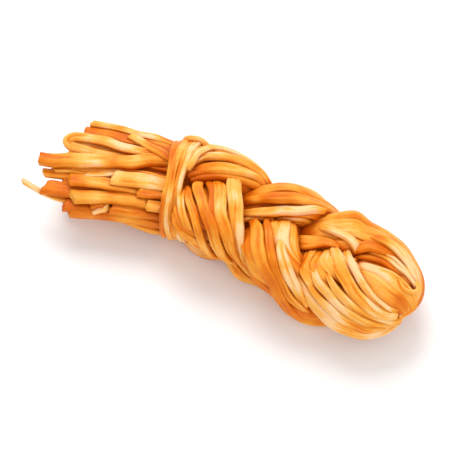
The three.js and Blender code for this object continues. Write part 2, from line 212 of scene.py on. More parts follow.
# Single ribbons that lie on the legs, in groups: points from the neck's middle, then widths that are
# spread evenly along the ribbon, its thickness, and shades spread in the same way. A shade past 0 or 1
# keeps a ribbon deep orange or cream in spite of the patterns in its colour.
SINGLE_RIBBONS = {
    "fold_ribbons": {
        "small_pale": ([
            (67, 6.8, 10), (72, 6.8, 14), (77, 6.6, 15.1), (81.5, 6.2, 15.6), (85, 4.9, 15.1),
            (87.2, 3, 12),
        ], (2.0, 3.6, 4.0, 3.4), 2.8, (0.4, 0.8, 1.0, 0.9)),
        "small_lower": ([
            (59.5, -2.4, 5.5), (62.5, -2.2, 8.6), (65.5, -1.7, 10.2), (70, -0.3, 12), (75, 1, 12.9),
            (80, 1.6, 12.8),
        ], (6.6, 7.0, 6.4, 4.6, 2.6), 2.8, (0.9, 0.75, 0.4, 0.35)),
        "red_upper": ([
            (84.5, 1.5, 9.5), (87, 4.2, 13.2), (90.5, 7, 15), (95.5, 8.2, 15), (100, 8.3, 13.8),
            (105, 7.3, 11.5),
        ], (1.5, 4.2, 5.4, 5.0, 3.5, 1.5), 3.2, (0.25, 0.25, 0.35, 0.6)),
        "red_middle": ([
            (86, 1.2, 8.5), (90, 3.3, 11.3), (94, 4.4, 12.5), (99, 4.9, 12.4), (104, 4.1, 11.6),
            (109.5, 2.5, 10.5),
        ], (1.5, 4.0, 5.0, 4.6, 3.4, 1.5), 3.0, (0.2, 0.25, 0.3, 0.5)),
        "red_lower": ([
            (87.5, -1, 8), (90.5, -0.6, 9.6), (94.5, 0.9, 10.4), (100.5, 1.7, 10.8), (106, 0.8, 10.8),
            (111, -0.8, 9.8),
        ], (1.5, 3.2, 4.6, 4.6, 3.0, 1.5), 3.0, (0.15, 0.25, 0.3, 0.4)),
        "pale_thin": ([
            (91.5, 5, 12.2), (94, 5.5, 13.9), (97.5, 5.8, 14.1), (102, 5.4, 13.6), (106.5, 4.4, 13),
            (111, 3.4, 12.6), (115.5, 2, 9.8), (117, 1.2, 7.5),
        ], (1.9, 1.9), 2.0, (0.95, 1.05)),
        "pale_beside": ([
            (95, 7, 13.6), (97.5, 7.1, 14.8), (102, 7, 14), (106.5, 6.2, 13.2), (111, 5, 12.1),
            (114.5, 3.6, 9.5),
        ], (1.7, 1.7), 1.8, (0.9, 1.0)),
        # A dark strand in the gap between two pale ribbons: painted shade for the shadow in the slit.
        "painted_shade_slit": ([
            (95.5, 8.2, 13.8), (98.5, 8.8, 14), (102.5, 8.7, 13.3), (107, 7.5, 12.1), (110, 6.6, 11),
        ], (0.6, 1.6, 1.8, 1.6, 0.6), 1.2, (-0.6, -0.6)),
        "pale_outer": ([
            (87.5, 10.8, 13), (92, 11.6, 14.9), (97.5, 12.3, 14.8), (103, 12, 13.3), (108.3, 9.8, 12),
            (113.5, 6, 9.9), (116.5, 3.5, 6.5),
        ], (2.0, 4.8, 6.0, 5.8, 4.8, 3.0), 3.0, (0.6, 0.9, 1.05, 1.0, 0.8)),
        "tongue_upper": ([
            (89, -3, 7.5), (92.5, -3.2, 9.6), (98.5, -2.5, 10.2), (105, -2.8, 10.5), (111.5, -4, 9.8),
            (116.5, -4.5, 7), (119, -5, 3.5),
        ], (3.0, 8.0, 10.0, 10.0, 9.0, 7.0, 4.0), 5.0, (1.0, 1.0, 0.9, 0.75, 0.65)),
        "tongue_lower": ([
            (91, -5.5, 10.5), (95.5, -7, 12.2), (101, -8, 12), (107.5, -8.6, 10.3), (113, -8.4, 7.6),
            (117, -8, 3.5),
        ], (3.0, 7.0, 9.0, 9.0, 8.0, 5.0), 5.0, (0.95, 0.95, 0.8, 0.2, 0.7)),
        "curl": ([
            (108, 0.8, 12), (110, -1.6, 12.6), (113, -3.4, 12), (116.4, -2.8, 10.6), (118.2, -0.2, 9.4),
            (117.2, 2, 9.4), (114.6, 2.4, 10.2),
        ], (2.2, 2.4, 2.2), 2.4, (0.6, 0.95)),
    },
    "far_side_ribbons": {
        "pale_lower": ([
            (33, -0.5, 7), (37.5, 0, 10.4), (42, 1.5, 12.3), (48.5, 4.6, 14.6), (54.5, 7, 16),
            (61, 12, 15.4), (66, 15.5, 12.3),
        ], (4.0, 5.0, 5.0, 4.5, 3.5), 3.2, (0.8, 0.95, 1.05, 0.85)),
        "pink_thin": ([
            (33.5, -4.4, 5.5), (35.5, -3.6, 7.9), (39, -1.9, 10), (43.5, -0.2, 11.2), (48, 0.8, 11.4),
        ], (2.2, 2.0), 2.2, (0.95, 0.9)),
        "orange_middle": ([
            (30.5, 5, 8), (34, 6, 10.8), (38.5, 8, 12.8), (44, 9.6, 15.6), (50, 11.5, 16.8),
            (56.5, 14, 15.6), (62, 16.5, 12.8), (66, 18, 9.5),
        ], (4.5, 6.0, 6.5, 5.0), 3.4, (0.25, 0.3, 0.6, 0.7)),
    },
    "near_side_ribbons": {
        "cream_narrow": ([
            (83, 1.5, 11.5), (86, -2.5, 15), (90.5, -7, 16.6), (94, -9.6, 15.8), (98, -12, 14.4),
            (105, -14, 11.3), (110.5, -13.8, 8.4), (114, -11.5, 5.5),
        ], (3.4, 4.0, 3.6, 3.2), 3.2, (0.9, 1.05, 0.9, 0.8)),
        "golden_wide": ([
            (78, 0, 11), (80.5, -4, 15.8), (84.5, -9.3, 18), (90, -13.6, 16.4), (96.5, -16.6, 13.4),
            (104, -18, 10.3), (110.5, -16, 7.2), (114.5, -12.5, 4.5),
        ], (4.0, 5.8, 5.8, 4.5), 3.8, (0.95, 0.8, 0.95, 0.8)),
        "slim": ([
            (80, -12.5, 15), (84, -16.4, 15.6), (88, -18.6, 14), (93, -20.4, 12.2), (100, -20.8, 9.8),
            (108.5, -18.8, 5.8), (114.5, -15, 2.3), (116.5, -12, 1.5),
        ], (2.0, 3.6, 4.2, 3.8), 3.2, (0.6, 0.95, 0.8)),
        "cream_low": ([
            (74, -14, 14.5), (79, -18.6, 14.4), (86, -21, 12.4), (93, -23.2, 10), (100, -23.4, 7.4),
            (106.5, -21.8, 5), (110.6, -19.2, 3.4), (113.4, -16.4, 1.5),
        ], (3.0, 4.6, 4.4, 3.0), 3.4, (0.8, 1.0, 0.75)),
        "lowest": ([
            (76, -20.5, 11.5), (82, -23.2, 10.6), (88.5, -25.2, 8.8), (96, -26, 5.8), (104, -24.4, 3.2),
            (109, -21.2, 2), (112, -18.2, 0.6),
        ], (2.6, 4.2, 4.4, 3.2), 3.2, (0.55, 0.8, 0.85)),
    },
    "middle_ribbons": {
        "left_edge": ([
            (38.5, -11, 7), (42, -16.5, 11.4), (46, -20.8, 11.2), (51, -23.2, 7), (56, -23.4, 1),
            (60, -21.5, -4.5),
        ], (1.6, 3.4, 3.8, 3.2, 1.6), 3.0, (0.5, 0.65, 0.5)),
        "orange_wide": ([
            (39.5, -3, 9.5), (44, -9, 15.4), (48.5, -16.5, 17), (54.5, -22.3, 14.4), (61.5, -26, 8.4),
            (67.5, -28.4, 1.5), (72.5, -28.2, -5), (76, -24, -10),
        ], (4.5, 6.5, 6.4, 5.0), 3.6, (0.4, 0.45, 0.3, 0.4)),
        "red_thin": ([
            (45, -1, 11), (47, -5, 15.4), (51.5, -12, 17.9), (56.5, -18.5, 16.8), (62, -23, 12.9),
            (68.5, -26.4, 7), (74.5, -27, 2.3), (78.5, -24.5, -3.5),
        ], (2.5, 4.0, 4.4, 4.2, 3.4), 3.2, (0.2, 0.25, 0.5, 0.6)),
        "cream_short": ([
            (56, -9, 16), (58.5, -14.5, 18), (63, -19, 16.6), (68, -22.5, 13), (74, -25, 7.3),
            (78.5, -25.5, 2),
        ], (2.5, 5.2, 5.2, 4.5, 3.0), 3.4, (0.7, 1.05, 1.0, 0.8, 0.6)),
    },
    "neck_side_ribbons": {
        "near_first": ([
            (4.5, -3, 9.5), (6, -8, 14.5), (9.5, -14.5, 16.2), (15, -20, 14.8), (19, -20.6, 8),
            (22, -20, 1), (25, -17.5, -6),
        ], (3.6, 3.6), 3.4, (0.5, 0.65, 0.5)),
        "near_second": ([
            (5.5, -3, 11), (8.5, -7, 15.5), (13, -12.5, 17.2), (20.5, -20, 14.5), (25, -22.6, 6.5),
            (28, -21.6, -1), (31, -17.5, -7.5),
        ], (3.0, 3.8, 3.8, 2.2), 3.2, (0.35, 0.5, 0.6)),
        "near_third": ([
            (8.5, 2.5, 9.5), (11.5, -3, 16), (17.5, -9.5, 18), (25.5, -17, 16.2), (31, -20.8, 9),
            (35, -21.2, 2), (39, -17.5, -4.5),
        ], (4.6, 5.6, 5.2, 3.0), 3.8, (0.4, 0.45, 0.75)),
        "near_wedge": ([
            (13, 5, 10), (16, 0.5, 15.5), (19.5, -4.5, 17.2), (23, -11, 18.2), (26.5, -15, 16.4),
        ], (4.6, 2.0), 3.0, (0.1, 0.15)),
        "near_fourth": ([
            (17, 5.5, 11.5), (20.5, 0, 17), (23.5, -5, 18.3), (27, -11, 18.6), (33, -16.5, 15),
            (38, -19.8, 8), (43, -20, 1.5),
        ], (4.8, 6.6, 6.2, 3.0), 4.0, (0.55, 0.7, 0.5)),
        "near_last": ([
            (21, 12.5, 10), (24.5, 6.5, 15.5), (27.5, 1.5, 17.2), (30.5, -3.5, 17), (34, -9.5, 15.5),
            (38.5, -15, 12.2), (43, -18.6, 7), (47, -19, 1.5),
        ], (6.2, 7.0, 6.4, 2.8), 4.2, (0.7, 0.9, 0.6)),
        "arm": ([
            (2.2, 2, 17.8), (2.4, 7.5, 17.5), (2, 12.5, 16.2), (3.5, 16.5, 14.3), (6.5, 20.5, 12.8),
            (12.5, 22.3, 12.2), (20, 22.2, 12.2), (27.5, 21.5, 10.8), (34, 19.5, 8.2), (37.5, 17, 4.5),
        ], (4.0, 4.4, 4.6), 3.4, (0.95, 0.8, 0.6)),
        "far_second": ([
            (1.5, 8.5, 14.5), (5, 14, 13.5), (9.5, 16.5, 14.3), (14.5, 17.8, 15.2), (20.5, 19, 14.8),
            (26.5, 19.5, 12.8), (32, 19, 9.5), (36.5, 16, 5.5),
        ], (4.2, 5.2, 4.6), 3.6, (0.75, 0.7, 0.65)),
        "far_third": ([
            (2, 3, 14), (5.5, 5.5, 13), (9.5, 8.5, 13.8), (14.5, 11, 14.8), (20, 13, 15.2), (26, 16, 13.5),
            (31, 17, 11), (36, 14.5, 7),
        ], (5.5, 7.0, 6.0), 4.2, (0.4, 0.7, 0.5)),
        "far_last": ([
            (4.5, 1.5, 11), (8, 4.5, 12), (12, 6.5, 13.2), (17, 8.8, 14), (22, 10.5, 14.3),
            (28, 12.5, 12.5), (33, 13.5, 9.5), (37, 11.5, 5.5),
        ], (4.0, 4.8, 4.2), 3.6, (0.25, 0.4, 0.45)),
        "knot": ([
            (-9, 21, 6.5), (-6.5, 22.4, 8.4), (-3, 23.4, 9), (0.5, 23.4, 8), (3, 22.8, 6),
        ], (2.8, 4.0, 2.6), 3.2, (0.6, 0.85)),
    },
}
THIRD_HANK_RIBBONS = ("far_side_ribbons", "near_side_ribbons")
SINGLE_TIPS = (1.2, 1.2)
SINGLE_SEED = 41

# Cut strands that show on top of the brush. A point is distance back from the neck, distance towards
# +Y and height. Then come width, thickness and shade, and the turn in degrees of the flat side at the
# cut end.
TOP_STRANDS = {
    "far_round": ([(2, 18.5, 6), (15, 20.6, 7.2), (34, 21.2, 7.8), (47.5, 22, 7.4)], 3.4, 3.4, 0.85, 0),
    "far_red": ([(2, 14.5, 6), (29, 17, 7.4), (49.5, 17.4, 6.6)], 5.2, 3.6, 0.22, 20),
    "far_orange": ([(6, 16.5, 6.5), (26, 19.2, 6.2), (40, 19.6, 5)], 5.2, 3.4, 0.3, -15),
    "folded_over": ([
        (4, 8.5, 9), (20, 9.8, 10.5), (36, 11.2, 11.2), (48, 11.4, 10.6), (53.4, 10.6, 10.2),
        (55, 8.6, 9.6), (52.8, 6.8, 9.2), (47, 6.3, 8.8), (38, 6.4, 8.6), (22, 7, 8), (6, 6.5, 7.5),
    ], 4.6, 3.0, 0.78, 0),
    "in_fold": ([(26, 8.5, 7.4), (40, 9, 8.2), (52, 8.9, 8.6)], 4.6, 2.8, 0.7, 0),
    "long_gold": ([
        (2, 10, 7), (13, 8, 9.8), (23.5, 3.2, 11.4), (37, 0, 12), (64.5, -4.6, 11.2),
    ], 6.4, 5.0, 0.6, 5),
    "pale_below": ([(4, 0, 7), (20, -1, 8.4), (38, -3.8, 9), (57.6, -6.4, 8)], 4.4, 3.4, 0.72, -10),
    "small_round": ([(4, -4, 6), (30, -6.5, 7), (61.5, -8.6, 6.8)], 3.8, 3.6, 0.5, 0),
    "orange_flat": ([(3, -6.5, 7.5), (28.5, -9, 9.4), (48.7, -10.4, 8.8)], 6.0, 3.2, 0.5, 6),
    "broad_red": ([(4, -10, 2.5), (30, -12.5, 4.5), (59.8, -14.4, 4.6)], 7.2, 4.2, 0.24, -12),
    "stray": ([
        (4, -14, 0), (30, -15.2, 1.4), (47, -17, 1.8), (60, -16.2, 2.2), (70.2, -13.4, 4.2),
    ], 2.7, 2.3, 0.95, 0),
    "low_gold": ([(3, -11.5, 4.5), (16.6, -13, 6.8), (30.5, -15, 7), (46, -17, 6)], 6.2, 4.2, 0.55, 8),
    "near_broad": ([
        (2, -15, -3), (8.6, -16.2, -2.2), (20, -17.6, -0.8), (30, -18.8, -0.4), (47, -20.8, -0.8),
    ], 6.2, 5.4, 0.36, 10),
    "near_under": ([(2, -17, -8), (10, -18, -6), (24, -16.6, -3.8), (38, -16, -3.2)], 4.8, 4.4, 0.6, 0),
    "torn_red": ([(36, -18.6, 3.4), (32.5, -17.6, 5), (29, -17.4, 5.2)], 4.6, 3.4, 0.15, 25),
    "torn_pale": ([(35, -20.4, 1.6), (31.5, -19, 3.6), (28, -18.2, 4.6)], 3.4, 2.8, 0.85, -20),
    "near_orange": ([(2, -13.5, 2), (10, -16, 3), (27.6, -18.6, 4.2)], 5.0, 3.8, 0.42, -8),
    "over_pale": ([(3, -4.5, 9.6), (16, -5.5, 11.8), (29.4, -6.8, 11.6)], 7.0, 3.4, 0.74, -6),
    "thin_pink": ([(4, -1.5, 8), (20, -2.6, 10), (42, -6.8, 10)], 2.2, 2.0, 0.85, 0),
    "short_gold": ([(2, -8, 8.4), (16.5, -9.8, 10.4)], 6.0, 3.4, 0.55, -10),
    "short_pale": ([(2, -13, 6), (11.6, -15, 7.8)], 5.6, 3.2, 0.8, -4),
    "diagonal": ([(3, 8.5, 9.8), (12.7, 11.5, 11.4), (28.4, 18.4, 8.6)], 3.8, 3.0, 0.66, 12),
}
TOP_TORN = 0.7

# Rows of strands under those: height, half the spread, shade, and how far each strand reaches.
LOWER_ROWS = [
    {"lift": 5.5, "spread": 15.5, "shade": 0.35, "reach": [38, 44, 50, 46, 52, 43]},
    {"lift": 1.0, "spread": 19.0, "shade": 0.4, "reach": [50, 45, 55, 52, 47, 57, 49]},
    {"lift": -3.6, "spread": 16.8, "shade": 0.5, "reach": [44, 53, 49, 57, 51, 50, 42]},
    {"lift": -8.2, "spread": 13.6, "shade": 0.5, "reach": [47, 52, 55, 50, 48, 40]},
    {"lift": -12.4, "spread": 10.5, "shade": 0.55, "reach": [46, 52, 49, 53]},
]
LOWER_WIDTH = 6.4
LOWER_THICKNESS = 4.6
LOWER_TORN = 0.8

# How such a strand fans out: its first point, so far from the neck and at a share of its side and
# height, then the shares of its reach, side and height at each point up to its cut end. Each place,
# size, twist and shade is then off by an amount drawn from its range.
LOWER_START = 1
FAN_START = 0.72
LOWER_FAN = ((0.35, 0.84, 0.9), (0.7, 0.94, 1.0))
LOWER_UNEVENNESS = {
    "side": (-0.8, 0.8), "lift": (-0.7, 0.7), "end_side": (-0.8, 0.8), "end_lift": (-0.9, 0.6),
    "width": (0.8, 1.15), "thickness": (0.85, 1.15), "twist": (-0.6, 0.6), "shade": (-0.2, 0.2),
}

# For all cut strands: their rounded tips, and the side past which they belong to the third hank.
CUT_TIPS = (0, 0.9)
THIRD_SIDE = -6
BRUSH_SEED = 5

# The band's two edges, along the plait from the ring's middle, by the angle round the neck from the
# top towards -Y. Then its ribbons: their middle and width as shares of the band's width, how far they
# stand out, and their shade.
BAND_TURN = math.radians(20)
BAND_EDGES = [
    (-180, -5.0, 5.5), (-110, -6.0, 6.4), (-50, -5.9, 6.2), (-20, -5.5, 4.6), (10, -4.9, 1.9),
    (45, -6.0, 2.0), (75, -6.2, 3.4), (100, -5.0, 5.0), (140, -5.0, 5.5), (180, -5.0, 5.5),
]
BAND_RIBBONS = [
    {"middle": 0.13, "width": 0.34, "lift": 0.0, "shade": 0.36},
    {"middle": 0.38, "width": 0.36, "lift": 0.5, "shade": 0.7},
    {"middle": 0.64, "width": 0.34, "lift": 0.15, "shade": 0.56},
    {"middle": 0.88, "width": 0.3, "lift": 0.6, "shade": 0.8},
]

# Along one turn of the band: its steps, how far it runs past each end, how many steps its edges are
# smoothed over, and the radius that turns an angle into a length.
BAND_STEPS = 190
BAND_OVERLAP = 0.12
BAND_SMOOTHING = 17
BAND_RADIUS = 19.0

# Across it: its section's power, half its thickness, how much wider it is than its share, how far it
# stands out at its start, and how much further after each so many radians.
BAND_POWER = 3.0
BAND_RIBBON_HALF_THICKNESS = 1.9
BAND_LAP = 1.08
BAND_TIP = 3
BAND_LIFT = 1.5
BAND_RISE = 0.6
BAND_RISE_TURN = 6.5
BAND_RIDGE_PITCH = 2.2
BAND_SEED = 3

# A ribbon laid round a leg: its section's power, half its thickness, how deep its middle lies under
# the leg's outline, how much wider it is than its share, how far it sways and tilts, how far its
# middle is raised, and the length of its rounded end.
RIBBON_POWER = 3.6
RIBBON_HALF_THICKNESS = 2.0
RIBBON_DEPTH = 2.2
RIBBON_LAP = 1.2
RIBBON_SWAY = 0.9
RIBBON_TILT = 0.15
RIBBON_CROWN = 0.2
RIBBON_TIP = 6
RIBBON_RIDGE_PITCH = 2.3

# The inside of a leg: how far it is drawn in from the leg's outline, its rounded end and its shade.
# That shade is kept deep as painted shade: the inside shows only in the gaps between the ribbons.
CORE_INSET = 3.4
CORE_TIP = 5
CORE_PAINTED_SHADE = 0.1

# A strand on its own: its section's power, its unevenness, how far it sways, and how a torn end is
# slanted and ragged over its last stretch.
STRAND_POWER = 3.4
STRAND_UNEVENNESS = 0.07
STRAND_SWAY = 0.35
STRAND_RIDGE_PITCH = 2.6
TORN_SLANT = 0.8
TORN_RAGGED = 0.7
TORN_LENGTH = 5

# How much more a single ribbon's flat side looks up than straight away from the plait's middle line,
# and the power of its rounded section when it is tilted.
LYING_UPWARDS = 1.4
LYING_POWER = 1.4

# Ridges along a strand: the length of each of their sines as a share of the pitch, and their drift.
RIDGE_SHARES = (1.0, 0.61, 0.37)
RIDGE_DRIFT = 1.3

# Fine splits in a ribbon: where they lie across it, how far they drift, their width and depth, and
# how much deeper their shade is: painted shade along the bottom of each split.
SPLIT_LINES = (-0.36, 0.3)
SPLIT_DRIFT = 0.28
SPLIT_WIDTH = 0.45
SPLIT_DEPTH = 0.32
SPLIT_PAINTED_SHADE = 0.42

# How unevenly a strand's shade runs along it, and how far apart two strands' fibres may start, so that
# no two are alike.
SHADE_UNEVENNESS = 0.2
FIBRE_SHIFT = 5000

# Steps of the curves and meshes: how far each way a path's direction is taken, and the points round
# each kind of section.
PATH_STEP = 0.8
CURVE_SAMPLES = 40
FEWEST_STEPS = 4
LEG_FRAME_REACH = 10
STRAND_FRAME_REACH = 1.6
RIBBON_POINTS = 28
STRAND_POINTS = 22
CORE_POINTS = 44
SECTION_SAMPLES = 720
SMALLEST_TIP = 0.02
WANDER_SCALE = 1.7
UP = np.array([0, 0, 1.0])

# The grid that finds the creases and the wider nooks, where the cheese's colour is darkened as painted
# shade: its step, how many places it fills between a vertex and the middle of its ring, and for each,
# its blur and how far out of the surface it is read.
GRID_STEP = 0.8
FILL_STEPS = 9
CREASE_SHADE_BLUR = 1.1
CREASE_SHADE_REACH = 1.0
NOOK_SHADE_BLUR = 4.5
NOOK_SHADE_REACH = 3.0

# The cheese's material, and the patterns in its shade: what each follows, its scale on each axis, for
# each metre of place or each millimetre of fibre, its detail and roughness, and how much it changes.
CHEESE = "smoked_cheese"
PATTERNS = {
    "patches": {"follows": "place", "scale": (75, 75, 75), "rough": (2.0, 0.5), "amount": 1.1},
    "wide_fibres": {"follows": "fibre", "scale": (0.9, 0.9, 0.05), "rough": (2.0, 0.5), "amount": 0.55},
    "fine_fibres": {"follows": "fibre", "scale": (3.6, 3.6, 0.12), "rough": (3.0, 0.6), "amount": 0.5},
    "grain": {"follows": "place", "scale": (1100, 1100, 1100), "rough": (2.0, 0.6), "amount": 0.3},
}

# Where each colour stands on the way from shade 0 to shade 1.
RAMP_STOPS = ((0.0, "deep"), (0.3, "orange"), (0.6, "golden"), (0.85, "pale"), (1.0, "cream"))

# The densities between which the painted shade in a nook or crease grows, and how much it darkens the
# cheese there.
NOOK_SHADE_RANGE = (0.28, 0.62)
NOOK_SHADE_DEPTH = 0.36
CREASE_SHADE_RANGE = (0.3, 0.72)
CREASE_SHADE_MIX = 0.54

# The finish: its roughness and how much the fibres add to it, the fibres' relief, and the shader's
# own values.
ROUGHNESS = 0.33
FIBRE_ROUGHNESS = 0.22
FINE_RELIEF = 0.6
WIDE_RELIEF = 0.8
BUMP_STRENGTH = 0.75
BUMP_HEIGHT = 0.35 * MM
FINISH = {
    "Subsurface Weight": 0.15,
    "Subsurface Radius": (1.0, 0.42, 0.14),
    "Subsurface Scale": 1.0 * MM,
    "Specular IOR Level": 0.15,
    "Coat Weight": 0.05,
    "Coat Roughness": 0.3,
}

# The stage, in metres and watts. The lights look at a point that lies so far from the neck.
FLOOR_REACH = 3.0
FLOOR_COLOUR = (0.9, 0.9, 0.9)
SKY_STRENGTH = 0.8
LIGHTS_AIM = np.array([30, 0, 0]) * MM
LIGHTS = {
    "key": {"towards": (-0.35, 0.45, 0.8), "distance": 0.9, "size": 0.55, "power": 5.5},
    "fill": {"towards": (0.7, -0.5, 0.55), "distance": 0.9, "size": 0.7, "power": 2.0},
}

# The camera: its angles, its distance from its target, and the target's place from the neck.
CAMERA_ELEVATION = math.radians(60)
CAMERA_AZIMUTH = math.radians(28.3)
CAMERA_DISTANCE = 700
CAMERA_TARGET = np.array([26.62, -5.85, 0.2])
MM_PER_PIXEL = 0.45
FRAME_PIXELS = 450
SENSOR_WIDTH = 36.0


def unit(vectors):
    """Each row divided by its length."""
    return vectors / np.maximum(np.linalg.norm(vectors, axis=-1, keepdims=True), 1e-9)


def smoothstep(low, high, value):
    """0 below low, 1 above high, and 3t^2 - 2t^3 of the share t between them."""
    share = np.clip((value - low) / (high - low), 0, 1)
    return share * share * (3 - 2 * share)


def wander(rng, at, longest, shortest, count=5):
    """A slow wander between about -1 and 1: a scaled, weighted mean of `count` sines of `at`.

    Their lengths run from longest to shortest, longer ones weigh more, and phases are drawn.
    """
    lengths = np.geomspace(longest, shortest, count)
    weights = np.sqrt(lengths) / np.sqrt(lengths).sum()
    phases = rng.uniform(0, 2 * math.pi, count)
    return WANDER_SCALE * (weights * np.sin(2 * math.pi * at[..., None] / lengths + phases)).sum(-1)


def smooth_rows(rows):
    """Rows of numbers, the first three a place, read at even steps along one smooth curve.

    The curve is a cubic Hermite piece between each row and the next. Its knots are spaced by the
    square root of the distance, and its slopes come from the neighbouring rows.
    """
    rows = np.asarray(rows, float)
    gaps = np.sqrt(np.linalg.norm(np.diff(rows[:, :3], axis=0), axis=1))
    knots = np.concatenate([[0], np.cumsum(gaps)])
    slopes = np.gradient(rows, knots, axis=0)
    at = np.linspace(0, knots[-1], CURVE_SAMPLES * len(rows))
    k = np.clip(np.searchsorted(knots, at, side="right") - 1, 0, len(rows) - 2)
    width = (knots[k + 1] - knots[k])[:, None]
    t = (at[:, None] - knots[k][:, None]) / width
    fine = (
        (2 * t**3 - 3 * t**2 + 1) * rows[k]
        + (t**3 - 2 * t**2 + t) * width * slopes[k]
        + (3 * t**2 - 2 * t**3) * rows[k + 1]
        + (t**3 - t**2) * width * slopes[k + 1]
    )
    length = np.concatenate([[0], np.cumsum(np.linalg.norm(np.diff(fine[:, :3], axis=0), axis=1))])
    count = max(int(round(length[-1] / PATH_STEP)), FEWEST_STEPS)
    even = np.linspace(0, length[-1], count + 1)
    return even, np.stack([np.interp(even, length, column) for column in fine.T], axis=1)


def brush_points(distance, side, height):
    """Points of the brush: distance back from the neck, distance towards +Y, and height."""
    distance, side, height = (np.asarray(value, float) for value in (distance, side, height))
    return np.stack([
        -distance * math.cos(BRUSH_TURN) - side * math.sin(BRUSH_TURN),
        -distance * math.sin(BRUSH_TURN) + side * math.cos(BRUSH_TURN),
        height + 0 * distance,
    ], axis=-1)


def brush_rows(points, width, thickness, twist):
    """Rows for a cut strand through points of the brush, whose flat side turns evenly by `twist`."""
    points = np.array(points, float)
    turn = twist * np.linspace(0, 1, len(points))
    out = np.stack([0 * turn, np.sin(turn), np.cos(turn)], axis=1)
    half_sizes = np.tile([width / 2, thickness / 2], (len(points), 1))
    return np.column_stack([brush_points(*points.T), out, half_sizes])


def lower_strand(rng, row, spot, reach):
    """Rows for one strand of a lower row, and its side.

    Its spot across the row runs from 1 at +Y to -1 at -Y, and its side is the row's spread times that.
    """
    def drawn(name):
        return rng.uniform(*LOWER_UNEVENNESS[name])

    side = row["spread"] * spot + drawn("side")
    lift = row["lift"] + drawn("lift")
    points = [
        (LOWER_START, FAN_START * side, FAN_START * lift),
        *((reach * away, across * side, up * lift) for away, across, up in LOWER_FAN),
        (reach, side + drawn("end_side"), lift + drawn("end_lift")),
    ]
    width = LOWER_WIDTH * drawn("width")
    thickness = LOWER_THICKNESS * drawn("thickness")
    return brush_rows(points, width, thickness, drawn("twist")), side


def hank_at(side):
    """The hank that a cut strand belongs to, by its side."""
    return "third" if side < THIRD_SIDE else "folded"


def plait_rows(sizes, leg):
    """Rows of a leg in the plait, for turns from START_TURN to its last.

    With u the turn plus the leg's phase: y = swing sin u, z = rise sin(2u - late cos u) - lift cos u,
    and x grows with the turn and with y. The flat side rolls as pi/2 - tilt - roll cos u + quick cos 3u,
    so that it lies flat where the leg crosses over and turns quickly round the plait's edges. On the
    far side a leg is narrower and further out. The neck squeezes all of it, the fold swells it, and
    the leg's own unevenness is added by straight lines between the turns where it is stated.
    """
    turn = np.arange(START_TURN, leg["last_turn"] + 1e-9, TURN_STEP)
    u = turn + leg["phase"]
    along = sizes.pitch / MM * turn / (2 * math.pi)
    out_of_neck = smoothstep(0, NECK_LENGTH, along)
    squeeze = NECK_SQUEEZE + (1 - NECK_SQUEEZE) * out_of_neck
    flatten = NECK_FLATTEN + (1 - NECK_FLATTEN) * out_of_neck
    near_fold = smoothstep(SWELL_FROM, SWELL_TO, along)
    swell = 1 + FOLD_SWELL * near_fold
    y = sizes.swing / MM * squeeze * swell * np.sin(u)
    roll = math.pi / 2 - NEAR_TILT - sizes.roll * np.cos(u) + QUICK_ROLL * np.cos(3 * u)
    thicken = 1 + EDGE_THICKENING * np.sin(u) ** 4
    far = np.maximum(np.sin(u), 0) ** 2
    near = np.maximum(-np.sin(u), 0) ** 2
    y = y + FAR_SPREAD * far - 4 * NEAR_FILL * near * (1 - near)
    stated, *changes = np.array(leg["uneven"]).T
    off_x, off_y, off_z, wider = (np.interp(np.degrees(turn), stated, change) for change in changes)
    return np.stack([
        along + sizes.skew * y + AHEAD + off_x,
        y - BOW * near_fold + NECK_SHIFT * (1 - out_of_neck) + off_y,
        flatten * (sizes.rise / MM * np.sin(2 * u - LATE_RISE * np.cos(u)) - NEAR_LIFT * np.cos(u)) + off_z,
        0 * u,
        np.sin(roll),
        np.cos(roll),
        sizes.leg_half_width / MM * squeeze * swell * (1 - FAR_NARROWING * far) * wider,
        sizes.leg_half_thickness / MM * (1 + swell) / 2 * thicken,
    ], axis=1)


def leg_path(sizes, name):
    """A leg from just behind the neck to its end at the fold, with a frame at each step."""
    leg = LEGS[name]
    plait = plait_rows(sizes, leg)
    root = brush_points([CORE_REACH, CORE_REACH / 2], leg["side"], leg["height"])
    squeezed = [*plait[0, 3:6], *(ROOT_NARROWING * plait[0, 6:8])]
    rows = np.concatenate([np.column_stack([root, [squeezed] * 2]), plait, FOLD_PATHS[name]])
    return with_frame(*smooth_rows(rows), reach=LEG_FRAME_REACH)


def with_frame(at, rows, reach):
    """Adds to each step of a path its direction, taken over `reach` each way, its outward normal
    square to that, and the side square to both."""
    steps = max(int(round(reach / (at[1] - at[0]))), 1)
    place = rows[:, :3]
    index = np.arange(len(place))
    ahead = place[np.minimum(index + steps, len(place) - 1)]
    behind = place[np.maximum(index - steps, 0)]
    direction = unit(ahead - behind)
    out = rows[:, 3:6]
    normal = unit(out - (out * direction).sum(1, keepdims=True) * direction)
    upward = unit(UP - direction[:, 2:] * direction)
    sideward = np.cross(upward, direction)
    roll = np.unwrap(np.arctan2((normal * sideward).sum(1), (normal * upward).sum(1)))
    return {
        "at": at, "place": place, "direction": direction, "normal": normal, "roll": roll,
        "side": np.cross(normal, direction), "half_width": rows[:, 6], "half_thickness": rows[:, 7],
    }


def in_frame(path, across, up):
    """Points that lie so far across and up from each step of a path, in its own frame there."""
    return (
        path["place"][:, None]
        + path["side"][:, None] * across[..., None]
        + path["normal"][:, None] * up[..., None]
    )


def rounded(angle, power):
    """The two coordinates of a rounded oblong of half size 1: signed powers of cosine and sine."""
    cos, sin = np.cos(angle), np.sin(angle)
    return (
        np.sign(cos) * np.abs(cos) ** (2 / power),
        np.sign(sin) * np.abs(sin) ** (2 / power),
    )


def top_heavy(count):
    """Angles once round a strand, twice as close on its top as they would be if even: t + cos(t) / 2."""
    angle = np.linspace(0, 2 * math.pi, count, endpoint=False) + math.pi / count
    return angle + 0.5 * np.cos(angle)


